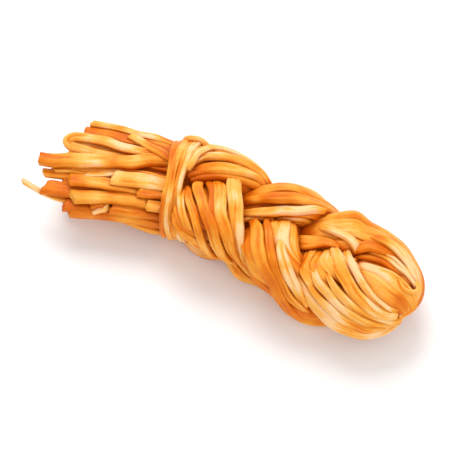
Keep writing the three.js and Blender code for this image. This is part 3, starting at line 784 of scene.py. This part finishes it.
def round_section(share):
    """Coordinates on a leg's section, of half size 1, at a share of its way round by length.

    The length is taken along the rounded oblong stretched across by SECTION_ASPECT.
    """
    angle = np.linspace(0, 2 * math.pi, SECTION_SAMPLES + 1)
    across, up = rounded(angle, SECTION_POWER)
    length = np.concatenate([[0], np.cumsum(np.hypot(SECTION_ASPECT * np.diff(across), np.diff(up)))])
    angle = np.interp(np.mod(share, 1), length / length[-1], angle)
    return rounded(angle, SECTION_POWER)


def ridges(rng, x, at, pitch, height):
    """Low lengthwise ridges of pulled cheese: `height` times half the sum of three sines of x, whose
    lengths and weights are shares of `pitch` and of 1, each drifting slowly along the strand."""
    total = 0
    for share in RIDGE_SHARES:
        drift = rng.uniform(0, 2 * math.pi) + RIDGE_DRIFT * wander(rng, at[:, None], 90, 25, 3)
        total = total + share * np.sin(2 * math.pi * x / (pitch * share) + drift)
    return height * total / 2


def grooves(rng, x, up, at, half_width):
    """Fine splits that begin and fade along a ribbon: bell curves of x round lines that drift across
    it, each as strong as a slow wander allows.

    `up` runs from -1 underneath to 1 on top, and the splits are whole only where it is over 1/3.
    """
    total = 0
    for line in SPLIT_LINES:
        middle = (line + SPLIT_DRIFT * wander(rng, at[:, None], 120, 40, 3)) * half_width[:, None]
        strength = np.clip(0.15 + 1.5 * wander(rng, at[:, None], 55, 18, 4), 0, 1)
        total = total + strength * np.exp(-(((x - middle) / SPLIT_WIDTH) ** 2))
    return total * np.clip(3 * up, 0, 1)


def ends(at, length, start, end):
    """How much of its full section a strand has at each step: a rounded end of the given length at
    each side, and 1 between them, by the rule (1 - d^3)^(1/2) with d the share left to the tip."""
    result = np.ones_like(at)
    for distance, reach in ((at, start), (length - at, end)):
        if reach > 0:
            left = np.clip(1 - distance / reach, 0, 1)
            result = result * np.sqrt(np.clip(1 - left**3, SMALLEST_TIP, 1))
    return result


def ribbon_on_leg(rng, path, share, part, relief):
    """One ribbon of a leg: a flat bar bent round the leg's section at a share of its way round.

    `part` is the share of the way round that the ribbon takes up. The leg's oval section rolls as the
    leg crosses over, and the ribbon slides round it by as much, so that it keeps to its own side.
    At an angle round the bar, x runs across it and y up from its middle. The point lies at the arc
    share + x / girth, and its inset from the leg's outline is depth - y - tilt x - crown - fine, with
    crown a low arch across the ribbon and fine its ridges and splits.
    """
    at = path["at"]
    girth = 2 * math.pi * np.sqrt((path["half_width"] ** 2 + path["half_thickness"] ** 2) / 2)
    across, up = rounded(top_heavy(RIBBON_POINTS), RIBBON_POWER)
    middle = share + path["roll"] / (2 * math.pi) + (RIBBON_SWAY * wander(rng, at, 110, 22) / girth)
    width = part * girth / 2 * (RIBBON_LAP + 0.2 * wander(rng, at, 60, 14))
    thickness = RIBBON_HALF_THICKNESS + 0.25 * wander(rng, at, 60, 20)
    depth = RIBBON_DEPTH + 0.55 * wander(rng, at, 60, 14)
    tilt = RIBBON_TILT * wander(rng, at, 70, 20)
    shrink = ends(at, at[-1], 0, RIBBON_TIP)
    x = (width * shrink)[:, None] * across
    y = (thickness * shrink)[:, None] * up
    crown = RIBBON_CROWN * (1 - (x / width[:, None]) ** 2)
    split = grooves(rng, x, up, at, width)
    fine = ridges(rng, x, at, RIBBON_RIDGE_PITCH, relief) * np.clip(up, 0, 1) - SPLIT_DEPTH * split
    inset = depth[:, None] - y - tilt[:, None] * x - crown - fine
    turn_x, turn_y = round_section(middle[:, None] + x / girth[:, None])
    sideways = (path["half_width"][:, None] - inset) * turn_x
    outward = (path["half_thickness"][:, None] - inset) * turn_y
    return in_frame(path, sideways, outward), x, y, at, split


def leg_core(path):
    """The inside of a leg, under its ribbons: its section drawn in by CORE_INSET."""
    across, up = round_section(np.linspace(0, 1, CORE_POINTS, endpoint=False)[None])
    shrink = ends(path["at"], path["at"][-1], 0, CORE_TIP)
    x = ((path["half_width"] - CORE_INSET) * shrink)[:, None] * across
    y = ((path["half_thickness"] - CORE_INSET) * shrink)[:, None] * up
    return in_frame(path, x, y), x, y, path["at"], 0 * x


def plait_middle(rng):
    """The plait's inside, which shows only in the nooks between the legs, and whose deepest shade paints
    them dark as painted shade: a straight rounded bar along X, with its thickness a little uneven."""
    start, stop = MIDDLE["ends"]
    at = np.arange(0, stop - start, MIDDLE["step"])
    shrink = ends(at, at[-1], MIDDLE["tip"], MIDDLE["tip"])
    across, up = rounded(np.linspace(0, 2 * math.pi, CORE_POINTS, endpoint=False), MIDDLE["power"])
    x = (MIDDLE["half_width"] * shrink)[:, None] * across
    y = (MIDDLE["half_thickness"] * shrink * (1 + 0.06 * wander(rng, at, 40, 12)))[:, None] * up
    grid = np.stack([(start + at)[:, None] + 0 * x, MIDDLE["side"] + x, y], axis=-1)
    return grid, x, y, at, 0 * x


def bar(rng, rows, relief, tips, torn=0.0):
    """A strand on its own: a flat bar carried along a smooth curve through rows of place, outward
    direction of its flat side, half width and half thickness, with ridges along it and rounded tips.
    A torn end is drawn out by a share of the place across, and by a wander of both, over its last
    stretch.
    """
    path = with_frame(*smooth_rows(rows), reach=STRAND_FRAME_REACH)
    at = path["at"]
    across, up = rounded(top_heavy(STRAND_POINTS), STRAND_POWER)
    shrink = ends(at, at[-1], *tips)
    width = path["half_width"] * (1 + STRAND_UNEVENNESS * wander(rng, at, 50, 12))
    thickness = path["half_thickness"] * (1 + STRAND_UNEVENNESS * wander(rng, at, 40, 12))
    x = (width * shrink)[:, None] * across
    y = (thickness * shrink)[:, None] * up
    split = grooves(rng, x, up, at, width) * shrink[:, None]
    fine = ridges(rng, x, at, STRAND_RIDGE_PITCH, relief) * up * shrink[:, None]
    raised = y + fine - SPLIT_DEPTH * split
    sway = STRAND_SWAY * wander(rng, at, 35, 12)
    ragged = TORN_SLANT * rng.uniform(-1, 1) * x + TORN_RAGGED * wander(rng, x + 2 * y, 4.5, 1.5, 3)
    ragged = torn * ragged * smoothstep(at[-1] - TORN_LENGTH, at[-1], at)[:, None]
    grid = in_frame(path, x + sway[:, None], raised) + path["direction"][:, None] * ragged[..., None]
    return grid, x, y, at, split


def spread(values, share):
    """Values spread evenly over shares from 0 to 1, read at the given shares by straight lines."""
    return np.interp(share, np.linspace(0, 1, len(values)), values)


def lying_rows(points, widths, thickness):
    """Rows for a ribbon that lies on the plait: its flat side faces away from the plait's own middle
    line, and rather more upwards, so that its outward direction goes as (0, y, 1.4 z).

    Its tilted section reaches (a^1.4 + b^1.4)^(1 / 1.4) upwards, with a and b the upward parts of half
    its thickness and half its width, and a point is lowered where that would pass HIGHEST.
    """
    points = np.array(points, float)
    out = unit(points * [0, 1, LYING_UPWARDS])
    half_width = spread(widths, np.linspace(0, 1, len(points))) / 2
    upwards = np.abs([out[:, 2] * thickness / 2, out[:, 1] * half_width])
    reach = (upwards ** LYING_POWER).sum(axis=0) ** (1 / LYING_POWER)
    points[:, 2] = np.minimum(points[:, 2], HIGHEST - reach)
    return np.column_stack([points, out, half_width, np.full(len(points), thickness / 2)])


def running_mean(values):
    """The mean of each value and its neighbours, BAND_SMOOTHING in all, with the end values repeated."""
    padded = np.pad(values, BAND_SMOOTHING // 2, "edge")
    return np.convolve(padded, np.ones(BAND_SMOOTHING) / BAND_SMOOTHING, "valid")


def band_ribbon(rng, ribbon, relief):
    """One turn of the band: a flat bar that goes once round the neck and laps over its own start.

    At an angle from the top towards -Y its middle lies on an oval round the neck, and along the plait
    at its share of the way between the band's two edges there. It stands out further as it goes round.
    """
    angle = np.linspace(-math.pi - BAND_OVERLAP, math.pi + BAND_OVERLAP, BAND_STEPS)
    turn, *edges = np.array(BAND_EDGES, float).T
    low, high = (running_mean(np.interp(angle, np.radians(turn), edge)) for edge in edges)
    along = np.array([math.cos(BAND_TURN), math.sin(BAND_TURN), 0])
    across = np.array([math.sin(BAND_TURN), -math.cos(BAND_TURN), 0])
    radial = np.sin(angle)[:, None] * across + np.cos(angle)[:, None] * UP
    middle = radial * [BAND_HALF_WIDTH, BAND_HALF_WIDTH, BAND_HALF_HEIGHT] + [0, BAND_SHIFT, 0]
    at = BAND_RADIUS * (angle - angle[0])
    shift = low + ribbon["middle"] * (high - low) + 0.35 * wander(rng, at, 60, 20)
    rise = BAND_RISE * (angle - angle[0]) / BAND_RISE_TURN
    lift = BAND_LIFT + ribbon["lift"] + 0.35 * wander(rng, at, 50, 15) + rise
    sideways, up = rounded(top_heavy(RIBBON_POINTS), BAND_POWER)
    shrink = ends(at, at[-1], BAND_TIP, BAND_TIP)
    half_width = ribbon["width"] * (high - low) / 2 * (BAND_LAP + 0.08 * wander(rng, at, 50, 15))
    x = (half_width * shrink)[:, None] * sideways
    y = (BAND_RIBBON_HALF_THICKNESS * shrink)[:, None] * up
    split = grooves(rng, x, up, at, half_width)
    fine = ridges(rng, x, at, BAND_RIDGE_PITCH, relief) * np.clip(up, 0, 1)
    raised = y + fine - SPLIT_DEPTH * split
    grid = (
        middle[:, None]
        + along * (shift[:, None] + x)[..., None]
        + radial[:, None] * (lift[:, None] + raised)[..., None]
    )
    return grid, x, y, at, split


def closed_tube(grid):
    """Vertices and triangles of a closed tube from rings of points, with a pole at each end.

    Each ring joins the next by two triangles a side, and each end ring joins its own middle.
    Returns them with the faces turned outwards, which the sign of the volume tells.
    """
    rings, around = grid.shape[:2]
    poles = grid[[0, -1]].mean(axis=1)
    points = np.concatenate([grid.reshape(-1, 3), poles])
    ring, column = np.meshgrid(np.arange(rings - 1), np.arange(around), indexing="ij")
    a = ring * around + column
    b = ring * around + (column + 1) % around
    quads = np.stack([a, b, b + around, a + around], axis=-1).reshape(-1, 4)
    faces = np.concatenate([quads[:, [0, 1, 2]], quads[:, [0, 2, 3]]])
    edge = np.arange(around)
    following = (edge + 1) % around
    last = (rings - 1) * around
    start = np.stack([following, edge, np.full(around, rings * around)], axis=1)
    stop = np.stack([last + edge, last + following, np.full(around, rings * around + 1)], axis=1)
    faces = np.concatenate([faces, start, stop])
    corners = points[faces] - poles[0]
    volume = np.einsum("ij,ij->i", corners[:, 0], np.cross(corners[:, 1], corners[:, 2])).sum()
    return points, faces if volume > 0 else faces[:, ::-1]


def make_piece(name, tubes, node):
    """One mesh object from (grid, x, y, along, split, shade) tubes, in metres.

    A point under the floor is raised to it. Each vertex keeps "fibre", its place across, up and along
    its own strand in millimetres, "shade", lowered along the splits as painted shade, and "inward", the
    way to the middle of its ring.
    """
    rng = np.random.default_rng(len(name))
    parts = {"points": [], "faces": [], "fibre": [], "shade": [], "inward": []}
    count = 0
    for grid, x, y, along, split, shade in tubes:
        points, faces = closed_tube(grid)
        uneven = SHADE_UNEVENNESS * wander(rng, along, 45, 12)
        # The splits lower the shade: painted shade along each fine split.
        tone_with_painted_split_shade = (shade + uneven)[:, None] - SPLIT_PAINTED_SHADE * split
        fibre = np.stack([x + 0 * y, y + 0 * x, along[:, None] + 0 * x], axis=-1).reshape(-1, 3)
        fibre = fibre + [0, 0, rng.uniform(0, FIBRE_SHIFT)]
        inward = (grid.mean(axis=1, keepdims=True) - grid).reshape(-1, 3)
        parts["points"].append(points)
        parts["faces"].append(faces + count)
        parts["fibre"].append(np.concatenate([fibre, fibre[[0, -1]]]))
        parts["inward"].append(np.concatenate([inward, 0 * inward[:2]]))
        parts["shade"].append(np.concatenate([tone_with_painted_split_shade.ravel(), tone_with_painted_split_shade[[0, -1], 0]]))
        count += len(points)
    joined = {key: np.concatenate(value) for key, value in parts.items()}
    points = joined["points"] + NECK
    points[:, 2] = np.maximum(points[:, 2], 0)
    mesh = bpy.data.meshes.new(name)
    mesh.vertices.add(len(points))
    mesh.vertices.foreach_set("co", (points * MM).astype(np.float32).ravel())
    faces = joined["faces"].astype(np.int32)
    mesh.loops.add(faces.size)
    mesh.loops.foreach_set("vertex_index", faces.ravel())
    mesh.polygons.add(len(faces))
    mesh.polygons.foreach_set("loop_start", np.arange(0, faces.size, 3, dtype=np.int32))
    mesh.polygons.foreach_set("loop_total", np.full(len(faces), 3, np.int32))
    mesh.update(calc_edges=True)
    mesh.polygons.foreach_set("use_smooth", np.ones(len(faces), bool))
    for key in ("fibre", "shade", "inward"):
        put_attribute(mesh, key, joined[key])
    mesh.materials.append(bpy.data.materials[CHEESE])
    piece = bpy.data.objects.new(name, mesh)
    bpy.context.scene.collection.objects.link(piece)
    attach(piece, BODY)
    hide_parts(node)
    piece["cheese"] = True


def put_attribute(mesh, name, values):
    """Writes one number or vector for each vertex."""
    kind, field = ("FLOAT_VECTOR", "vector") if values.ndim == 2 else ("FLOAT", "value")
    layer = mesh.attributes.new(name, kind, "POINT")
    layer.data.foreach_set(field, np.ascontiguousarray(values, dtype=np.float32).ravel())


def read_vectors(collection, field):
    """Reads the vector that each member of a collection has in a field."""
    values = np.zeros(len(collection) * 3, np.float32)
    collection.foreach_get(field, values)
    return values.reshape(-1, 3).astype(float)


def blurred(grid, radius):
    """A grid of densities spread by a bell curve of the given radius r in cells: its transform times
    exp(-2 (pi r f)^2) at each frequency f, turned back."""
    spectrum = np.fft.rfftn(grid)
    sizes = grid.shape
    waves = (np.fft.fftfreq(sizes[0]), np.fft.fftfreq(sizes[1]), np.fft.rfftfreq(sizes[2]))
    for axis, wave in enumerate(waves):
        bell = np.exp(-2 * (math.pi * radius * wave) ** 2)
        spectrum = spectrum * bell.reshape([-1 if k == axis else 1 for k in range(3)])
    return np.fft.irfftn(spectrum, s=sizes)


def read_grid(grid, low, points):
    """The grid's value at points in millimetres, by the straight-line rule between its cells."""
    at = (points - low) / GRID_STEP - 0.5
    cell = np.clip(np.floor(at).astype(int), 0, np.array(grid.shape) - 2)
    share = np.clip(at - cell, 0, 1)
    total = 0
    for corner in np.ndindex(2, 2, 2):
        weight = np.prod(np.where(corner, share, 1 - share), axis=1)
        index = cell + corner
        total = total + weight * grid[index[:, 0], index[:, 1], index[:, 2]]
    return total


def cheese_material(colours):
    """Pulled, smoked cheese: colour by shade, patches and fibres, with painted shade in creases and nooks."""
    material = bpy.data.materials.new(CHEESE)
    material.use_nodes = True
    tree = material.node_tree
    tree.nodes.clear()

    def node(kind, **values):
        made = tree.nodes.new(kind)
        for key, value in values.items():
            setattr(made, key, value)
        return made

    def feed(socket, value):
        if isinstance(value, bpy.types.NodeSocket):
            tree.links.new(value, socket)
        else:
            socket.default_value = value

    def math_node(operation, *values, clamp=False):
        made = node("ShaderNodeMath", operation=operation, use_clamp=clamp)
        for socket, value in zip(made.inputs, values):
            feed(socket, value)
        return made.outputs[0]

    def attribute(attribute_name, output="Fac"):
        return node("ShaderNodeAttribute", attribute_name=attribute_name).outputs[output]

    def noise(vector, scale, detail, roughness):
        mapping = node("ShaderNodeMapping")
        feed(mapping.inputs["Vector"], vector)
        feed(mapping.inputs["Scale"], scale)
        made = node("ShaderNodeTexNoise")
        feed(made.inputs["Vector"], mapping.outputs["Vector"])
        feed(made.inputs["Scale"], 1.0)
        feed(made.inputs["Detail"], detail)
        feed(made.inputs["Roughness"], roughness)
        return made.outputs["Fac"]

    def span(value, low, high):
        made = node("ShaderNodeMapRange", interpolation_type="SMOOTHSTEP")
        feed(made.inputs["Value"], value)
        feed(made.inputs["From Min"], low)
        feed(made.inputs["From Max"], high)
        return made.outputs["Result"]

    follows = {"place": node("ShaderNodeTexCoord").outputs["Object"], "fibre": attribute("fibre", "Vector")}
    patterns = {
        name: noise(follows[row["follows"]], row["scale"], *row["rough"]) for name, row in PATTERNS.items()
    }
    level = attribute("shade")
    for name, pattern in patterns.items():
        amount = PATTERNS[name]["amount"]
        level = math_node("ADD", level, math_node("MULTIPLY_ADD", pattern, amount, -amount / 2))
    # Painted shade: the level drops where a vertex lies deep in a nook among the strands.
    painted_nook_shade = span(attribute("painted_nook_shade"), *NOOK_SHADE_RANGE)
    level = math_node("SUBTRACT", level, math_node("MULTIPLY", painted_nook_shade, NOOK_SHADE_DEPTH), clamp=True)

    # A new ramp has its first and last stops already.
    ramp = node("ShaderNodeValToRGB")
    ramp.color_ramp.interpolation = "EASE"
    stops = ramp.color_ramp.elements
    (_, first), *inner, (_, last) = RAMP_STOPS
    stops[0].color = (*getattr(colours, first), 1)
    stops[1].color = (*getattr(colours, last), 1)
    for position, name in inner:
        stops.new(position).color = (*getattr(colours, name), 1)
    feed(ramp.inputs["Fac"], level)

    # The Mix node's colours go in at sockets 6 and 7, and come out at 2.
    # Painted shade: the colour turns towards the crease colour where two strands meet.
    painted_crease_shade = span(attribute("painted_crease_shade"), *CREASE_SHADE_RANGE)
    colour = node("ShaderNodeMix", data_type="RGBA")
    feed(colour.inputs["Factor"], math_node("MULTIPLY", painted_crease_shade, CREASE_SHADE_MIX))
    feed(colour.inputs[6], ramp.outputs["Color"])
    feed(colour.inputs[7], (*colours.painted_crease_shade, 1))

    fine = math_node("MULTIPLY", patterns["fine_fibres"], FINE_RELIEF)
    wide = math_node("MULTIPLY", patterns["wide_fibres"], WIDE_RELIEF)
    bump = node("ShaderNodeBump")
    feed(bump.inputs["Strength"], BUMP_STRENGTH)
    feed(bump.inputs["Distance"], BUMP_HEIGHT)
    feed(bump.inputs["Height"], math_node("ADD", fine, wide))

    surface = node("ShaderNodeBsdfPrincipled")
    for socket, value in FINISH.items():
        feed(surface.inputs[socket], value)
    shine = math_node("MULTIPLY_ADD", patterns["fine_fibres"], FIBRE_ROUGHNESS, ROUGHNESS)
    feed(surface.inputs["Base Color"], colour.outputs[2])
    feed(surface.inputs["Roughness"], shine)
    feed(surface.inputs["Normal"], bump.outputs["Normal"])
    feed(node("ShaderNodeOutputMaterial").inputs["Surface"], surface.outputs["BSDF"])


def floor_material():
    """A plain matt surface for the floor."""
    material = bpy.data.materials.new("pale_floor")
    material.use_nodes = True
    surface = material.node_tree.nodes["Principled BSDF"]
    surface.inputs["Base Color"].default_value = (*FLOOR_COLOUR, 1)
    surface.inputs["Roughness"].default_value = 0.9
    surface.inputs["Specular IOR Level"].default_value = 0.1
    return material


def place_looking(thing, target, back, distance):
    """Puts a light or camera at a distance from target along back, looking at target."""
    thing.location = target + distance * back
    thing.rotation_euler = Vector(-back).to_track_quat("-Z", "Y").to_euler()


def add_light(name, target, towards, distance, size, power):
    """A square soft light that looks at target from a direction."""
    light = bpy.data.lights.new(name, "AREA")
    light.size = size
    light.energy = power
    lamp = bpy.data.objects.new(name, light)
    bpy.context.scene.collection.objects.link(lamp)
    place_looking(lamp, target, unit(np.array(towards, float)), distance)


def add_camera(scene):
    """The camera: at its angle and distance from the target, with a lens that shows MM_PER_PIXEL
    millimetres in each of the frame's pixels at the target."""
    camera = bpy.data.cameras.new("camera")
    camera.sensor_width = SENSOR_WIDTH
    camera.lens = CAMERA_DISTANCE / MM_PER_PIXEL * SENSOR_WIDTH / FRAME_PIXELS
    camera.clip_start = 0.01
    camera.clip_end = 10.0
    eye = bpy.data.objects.new("camera", camera)
    scene.collection.objects.link(eye)
    back = np.array([
        math.sin(CAMERA_AZIMUTH) * math.cos(CAMERA_ELEVATION),
        -math.cos(CAMERA_AZIMUTH) * math.cos(CAMERA_ELEVATION),
        math.sin(CAMERA_ELEVATION),
    ])
    place_looking(eye, (NECK + CAMERA_TARGET) * MM, back, CAMERA_DISTANCE * MM)
    scene.camera = eye


class PlaitSizes(bpy.types.PropertyGroup):
    """Sizes of the plait that a user may change."""

    pitch: bpy.props.FloatProperty(
        name="Pitch", description="Length of the plait in which a leg goes once round",
        default=90 * MM, min=40 * MM, max=200 * MM, unit="LENGTH",
    )
    swing: bpy.props.FloatProperty(
        name="Swing", description="How far a leg's middle swings to each side",
        default=15.8 * MM, min=5 * MM, max=40 * MM, unit="LENGTH",
    )
    rise: bpy.props.FloatProperty(
        name="Rise", description="How far a leg's middle rises and dips where it crosses",
        default=10.2 * MM, min=3 * MM, max=30 * MM, unit="LENGTH",
    )
    skew: bpy.props.FloatProperty(
        name="Skew", description="How far the far side runs ahead of the near side, for each unit across",
        default=0.35, min=-1, max=1,
    )
    roll: bpy.props.FloatProperty(
        name="Roll", description="How far a leg's flat side rolls to each side",
        default=math.radians(104), min=0, max=math.pi, subtype="ANGLE",
    )
    leg_half_width: bpy.props.FloatProperty(
        name="Leg half width", description="Half the width of a leg of ribbons",
        default=11.6 * MM, min=4 * MM, max=30 * MM, unit="LENGTH",
    )
    leg_half_thickness: bpy.props.FloatProperty(
        name="Leg half thickness", description="Half the thickness of a leg of ribbons",
        default=6 * MM, min=2 * MM, max=20 * MM, unit="LENGTH",
    )
    relief: bpy.props.FloatProperty(
        name="Fibre relief", description="Height of the ridges along each ribbon",
        default=0.22 * MM, min=0, max=1 * MM, unit="LENGTH",
    )


def colour_property(name, description, default):
    """A colour that a user may change."""
    return bpy.props.FloatVectorProperty(
        name=name, description=description, subtype="COLOR", size=3, min=0, max=1, default=default,
    )


class CheeseColours(bpy.types.PropertyGroup):
    """Colours of the cheese, from the painted shade in its deepest creases to its palest ribbons."""

    # The colour of the painted shade deep between two ribbons.
    painted_crease_shade: colour_property("Crease", "Colour deep between two ribbons", (0.4, 0.062, 0.001))
    deep: colour_property("Deep orange", "Darkest colour on a ribbon", (0.66, 0.135, 0.001))
    orange: colour_property("Orange", "Colour of well smoked ribbons", (0.76, 0.2, 0.005))
    golden: colour_property("Golden", "Colour of most ribbons", (0.87, 0.335, 0.03))
    pale: colour_property("Pale", "Colour of ribbons on the crests", (0.91, 0.455, 0.095))
    cream: colour_property("Cream", "Palest colour on a ribbon", (0.93, 0.57, 0.27))


class STRINGCHEESE_OT_add_legs(bpy.types.Operator):
    """Adds the three plaited legs: a core, and ribbons laid round it"""

    bl_idname = "string_cheese.add_legs"
    bl_label = "Add plaited legs"

    def execute(self, context):
        sizes = context.scene.string_cheese_sizes
        for name, leg in LEGS.items():
            rng = np.random.default_rng(leg["seed"])
            path = leg_path(sizes, name)
            first_width, first_shade, next_width, next_shade = np.array(leg["ribbons"]).T[..., None]
            onward = smoothstep(*leg["over"], path["place"][:, 0])
            widths = first_width + (next_width - first_width) * onward
            shades = first_shade + (next_shade - first_shade) * onward
            girth = widths.sum(axis=0)
            middles = (np.cumsum(widths, axis=0) - widths / 2) / girth
            # The leg's inside takes a deep shade, painted shade in the gaps between its ribbons.
            tubes = [(*leg_core(path), CORE_PAINTED_SHADE)]
            for middle, width, shade in zip(middles, widths, shades):
                tubes.append((*ribbon_on_leg(rng, path, middle, width / girth, sizes.relief / MM), shade))
            if name == "inner":
                # The plait's inside takes the deepest shade, painted shade in the nooks between the legs.
                tubes.append((*plait_middle(rng), 0))
            node = "third_hank" if name == "third" else "folded_hank"
            make_piece(f"{name}_leg_ribbons", tubes, node)
        return {"FINISHED"}


class STRINGCHEESE_OT_add_single_ribbons(bpy.types.Operator):
    """Adds the single ribbons that lie on the legs"""

    bl_idname = "string_cheese.add_single_ribbons"
    bl_label = "Add single ribbons"

    def execute(self, context):
        relief = context.scene.string_cheese_sizes.relief / MM
        for seed, (name, group) in enumerate(SINGLE_RIBBONS.items(), start=SINGLE_SEED):
            rng = np.random.default_rng(seed)
            tubes = []
            for points, widths, thickness, shades in group.values():
                tube = bar(rng, lying_rows(points, widths, thickness), relief, SINGLE_TIPS)
                at = tube[3]
                tubes.append((*tube, spread(shades, at / at[-1])))
            node = "third_hank" if name in THIRD_HANK_RIBBONS else "folded_hank"
            make_piece(name, tubes, node)
        return {"FINISHED"}


class STRINGCHEESE_OT_add_brush(bpy.types.Operator):
    """Adds the cut strands behind the neck"""

    bl_idname = "string_cheese.add_brush"
    bl_label = "Add cut strands"

    def execute(self, context):
        relief = context.scene.string_cheese_sizes.relief / MM
        rng = np.random.default_rng(BRUSH_SEED)
        groups = {"third": [], "folded": []}
        for points, width, thickness, shade, turn in TOP_STRANDS.values():
            rows = brush_rows(points, width, thickness, math.radians(turn))
            tube = bar(rng, rows, relief, CUT_TIPS, TOP_TORN)
            groups[hank_at(points[0][1])].append((*tube, shade))
        for row in LOWER_ROWS:
            for spot, reach in zip(np.linspace(1, -1, len(row["reach"])), row["reach"]):
                rows, side = lower_strand(rng, row, spot, reach)
                tube = bar(rng, rows, relief, CUT_TIPS, LOWER_TORN)
                shade = row["shade"] + rng.uniform(*LOWER_UNEVENNESS["shade"])
                groups[hank_at(side)].append((*tube, shade))
        for hank, tubes in groups.items():
            make_piece(f"{hank}_cut_strands", tubes, f"{hank}_hank")
        return {"FINISHED"}


class STRINGCHEESE_OT_add_band(bpy.types.Operator):
    """Adds the strands wound round the neck"""

    bl_idname = "string_cheese.add_band"
    bl_label = "Add neck band"

    def execute(self, context):
        relief = context.scene.string_cheese_sizes.relief / MM
        rng = np.random.default_rng(BAND_SEED)
        tubes = [(*band_ribbon(rng, ribbon, relief), ribbon["shade"]) for ribbon in BAND_RIBBONS]
        make_piece("neck_band_ribbons", tubes, "neck_band")
        return {"FINISHED"}


class STRINGCHEESE_OT_shade_creases(bpy.types.Operator):
    """Finds the creases and nooks between all strands, which the cheese's colour darkens as painted shade"""

    bl_idname = "string_cheese.shade_creases"
    bl_label = "Shade creases"

    def execute(self, context):
        meshes = [piece.data for piece in context.scene.objects if piece.get("cheese")]
        places = [read_vectors(mesh.vertices, "co") / MM for mesh in meshes]
        normals = [read_vectors(mesh.vertex_normals, "vector") for mesh in meshes]
        every = np.concatenate(places)
        inward = np.concatenate([read_vectors(mesh.attributes["inward"].data, "vector") for mesh in meshes])
        margin = 4 * NOOK_SHADE_BLUR
        low = every.min(0) - margin
        filled = np.zeros(np.ceil((every.max(0) + margin - low) / GRID_STEP).astype(int))
        for share in np.linspace(0, 1, FILL_STEPS):
            cell = ((every + share * inward - low) / GRID_STEP).astype(int)
            filled[cell[:, 0], cell[:, 1], cell[:, 2]] = 1
        # Both densities are painted as shade by the cheese's material.
        for name, blur, reach in (("painted_crease_shade", CREASE_SHADE_BLUR, CREASE_SHADE_REACH), ("painted_nook_shade", NOOK_SHADE_BLUR, NOOK_SHADE_REACH)):
            density = blurred(filled, blur / GRID_STEP)
            for mesh, place, normal in zip(meshes, places, normals):
                put_attribute(mesh, name, read_grid(density, low, place + reach * normal))
        for mesh in meshes:
            mesh.attributes.remove(mesh.attributes["inward"])
        return {"FINISHED"}


class STRINGCHEESE_OT_add_stage(bpy.types.Operator):
    """Adds the pale floor, the studio lights and the camera"""

    bl_idname = "string_cheese.add_stage"
    bl_label = "Add stage"

    def execute(self, context):
        scene = context.scene
        mesh = bpy.data.meshes.new("floor")
        corners = [(x * FLOOR_REACH, y * FLOOR_REACH, 0) for x, y in ((-1, -1), (1, -1), (1, 1), (-1, 1))]
        mesh.from_pydata(corners, [], [(0, 1, 2, 3)])
        mesh.materials.append(floor_material())
        floor = bpy.data.objects.new("floor", mesh)
        scene.collection.objects.link(floor)
        world = bpy.data.worlds.new("studio")
        world.use_nodes = True
        sky = world.node_tree.nodes["Background"]
        sky.inputs["Color"].default_value = (1, 1, 1, 1)
        sky.inputs["Strength"].default_value = SKY_STRENGTH
        scene.world = world
        scene.view_settings.view_transform = "Standard"
        for name, light in LIGHTS.items():
            add_light(name, NECK * MM + LIGHTS_AIM, **light)
        add_camera(scene)
        return {"FINISHED"}


class STRINGCHEESE_PT_panel(bpy.types.Panel):
    """Lists the plait's sizes, colours and building steps"""

    bl_idname = "STRINGCHEESE_PT_panel"
    bl_label = "String cheese plait"
    bl_space_type = "VIEW_3D"
    bl_region_type = "UI"
    bl_category = "String cheese"

    def draw(self, context):
        layout = self.layout
        for group in (context.scene.string_cheese_sizes, context.scene.string_cheese_colours):
            column = layout.column()
            for name in group.__annotations__:
                column.prop(group, name)
        for operator in OPERATORS:
            layout.operator(operator.bl_idname)


OPERATORS = (
    STRINGCHEESE_OT_add_legs,
    STRINGCHEESE_OT_add_single_ribbons,
    STRINGCHEESE_OT_add_brush,
    STRINGCHEESE_OT_add_band,
    STRINGCHEESE_OT_shade_creases,
    STRINGCHEESE_OT_add_stage,
)
CLASSES = (PlaitSizes, CheeseColours, *OPERATORS, STRINGCHEESE_PT_panel)


def register():
    for each in CLASSES:
        bpy.utils.register_class(each)
    bpy.types.Scene.string_cheese_sizes = bpy.props.PointerProperty(type=PlaitSizes)
    bpy.types.Scene.string_cheese_colours = bpy.props.PointerProperty(type=CheeseColours)


def unregister():
    del bpy.types.Scene.string_cheese_colours
    del bpy.types.Scene.string_cheese_sizes
    for each in reversed(CLASSES):
        bpy.utils.unregister_class(each)


def main():
    register()
    cheese_material(bpy.context.scene.string_cheese_colours)
    bpy.ops.string_cheese.add_legs()
    bpy.ops.string_cheese.add_single_ribbons()
    bpy.ops.string_cheese.add_brush()
    bpy.ops.string_cheese.add_band()
    bpy.ops.string_cheese.shade_creases()
    bpy.ops.string_cheese.add_stage()


if __name__ == "__main__":
    main()
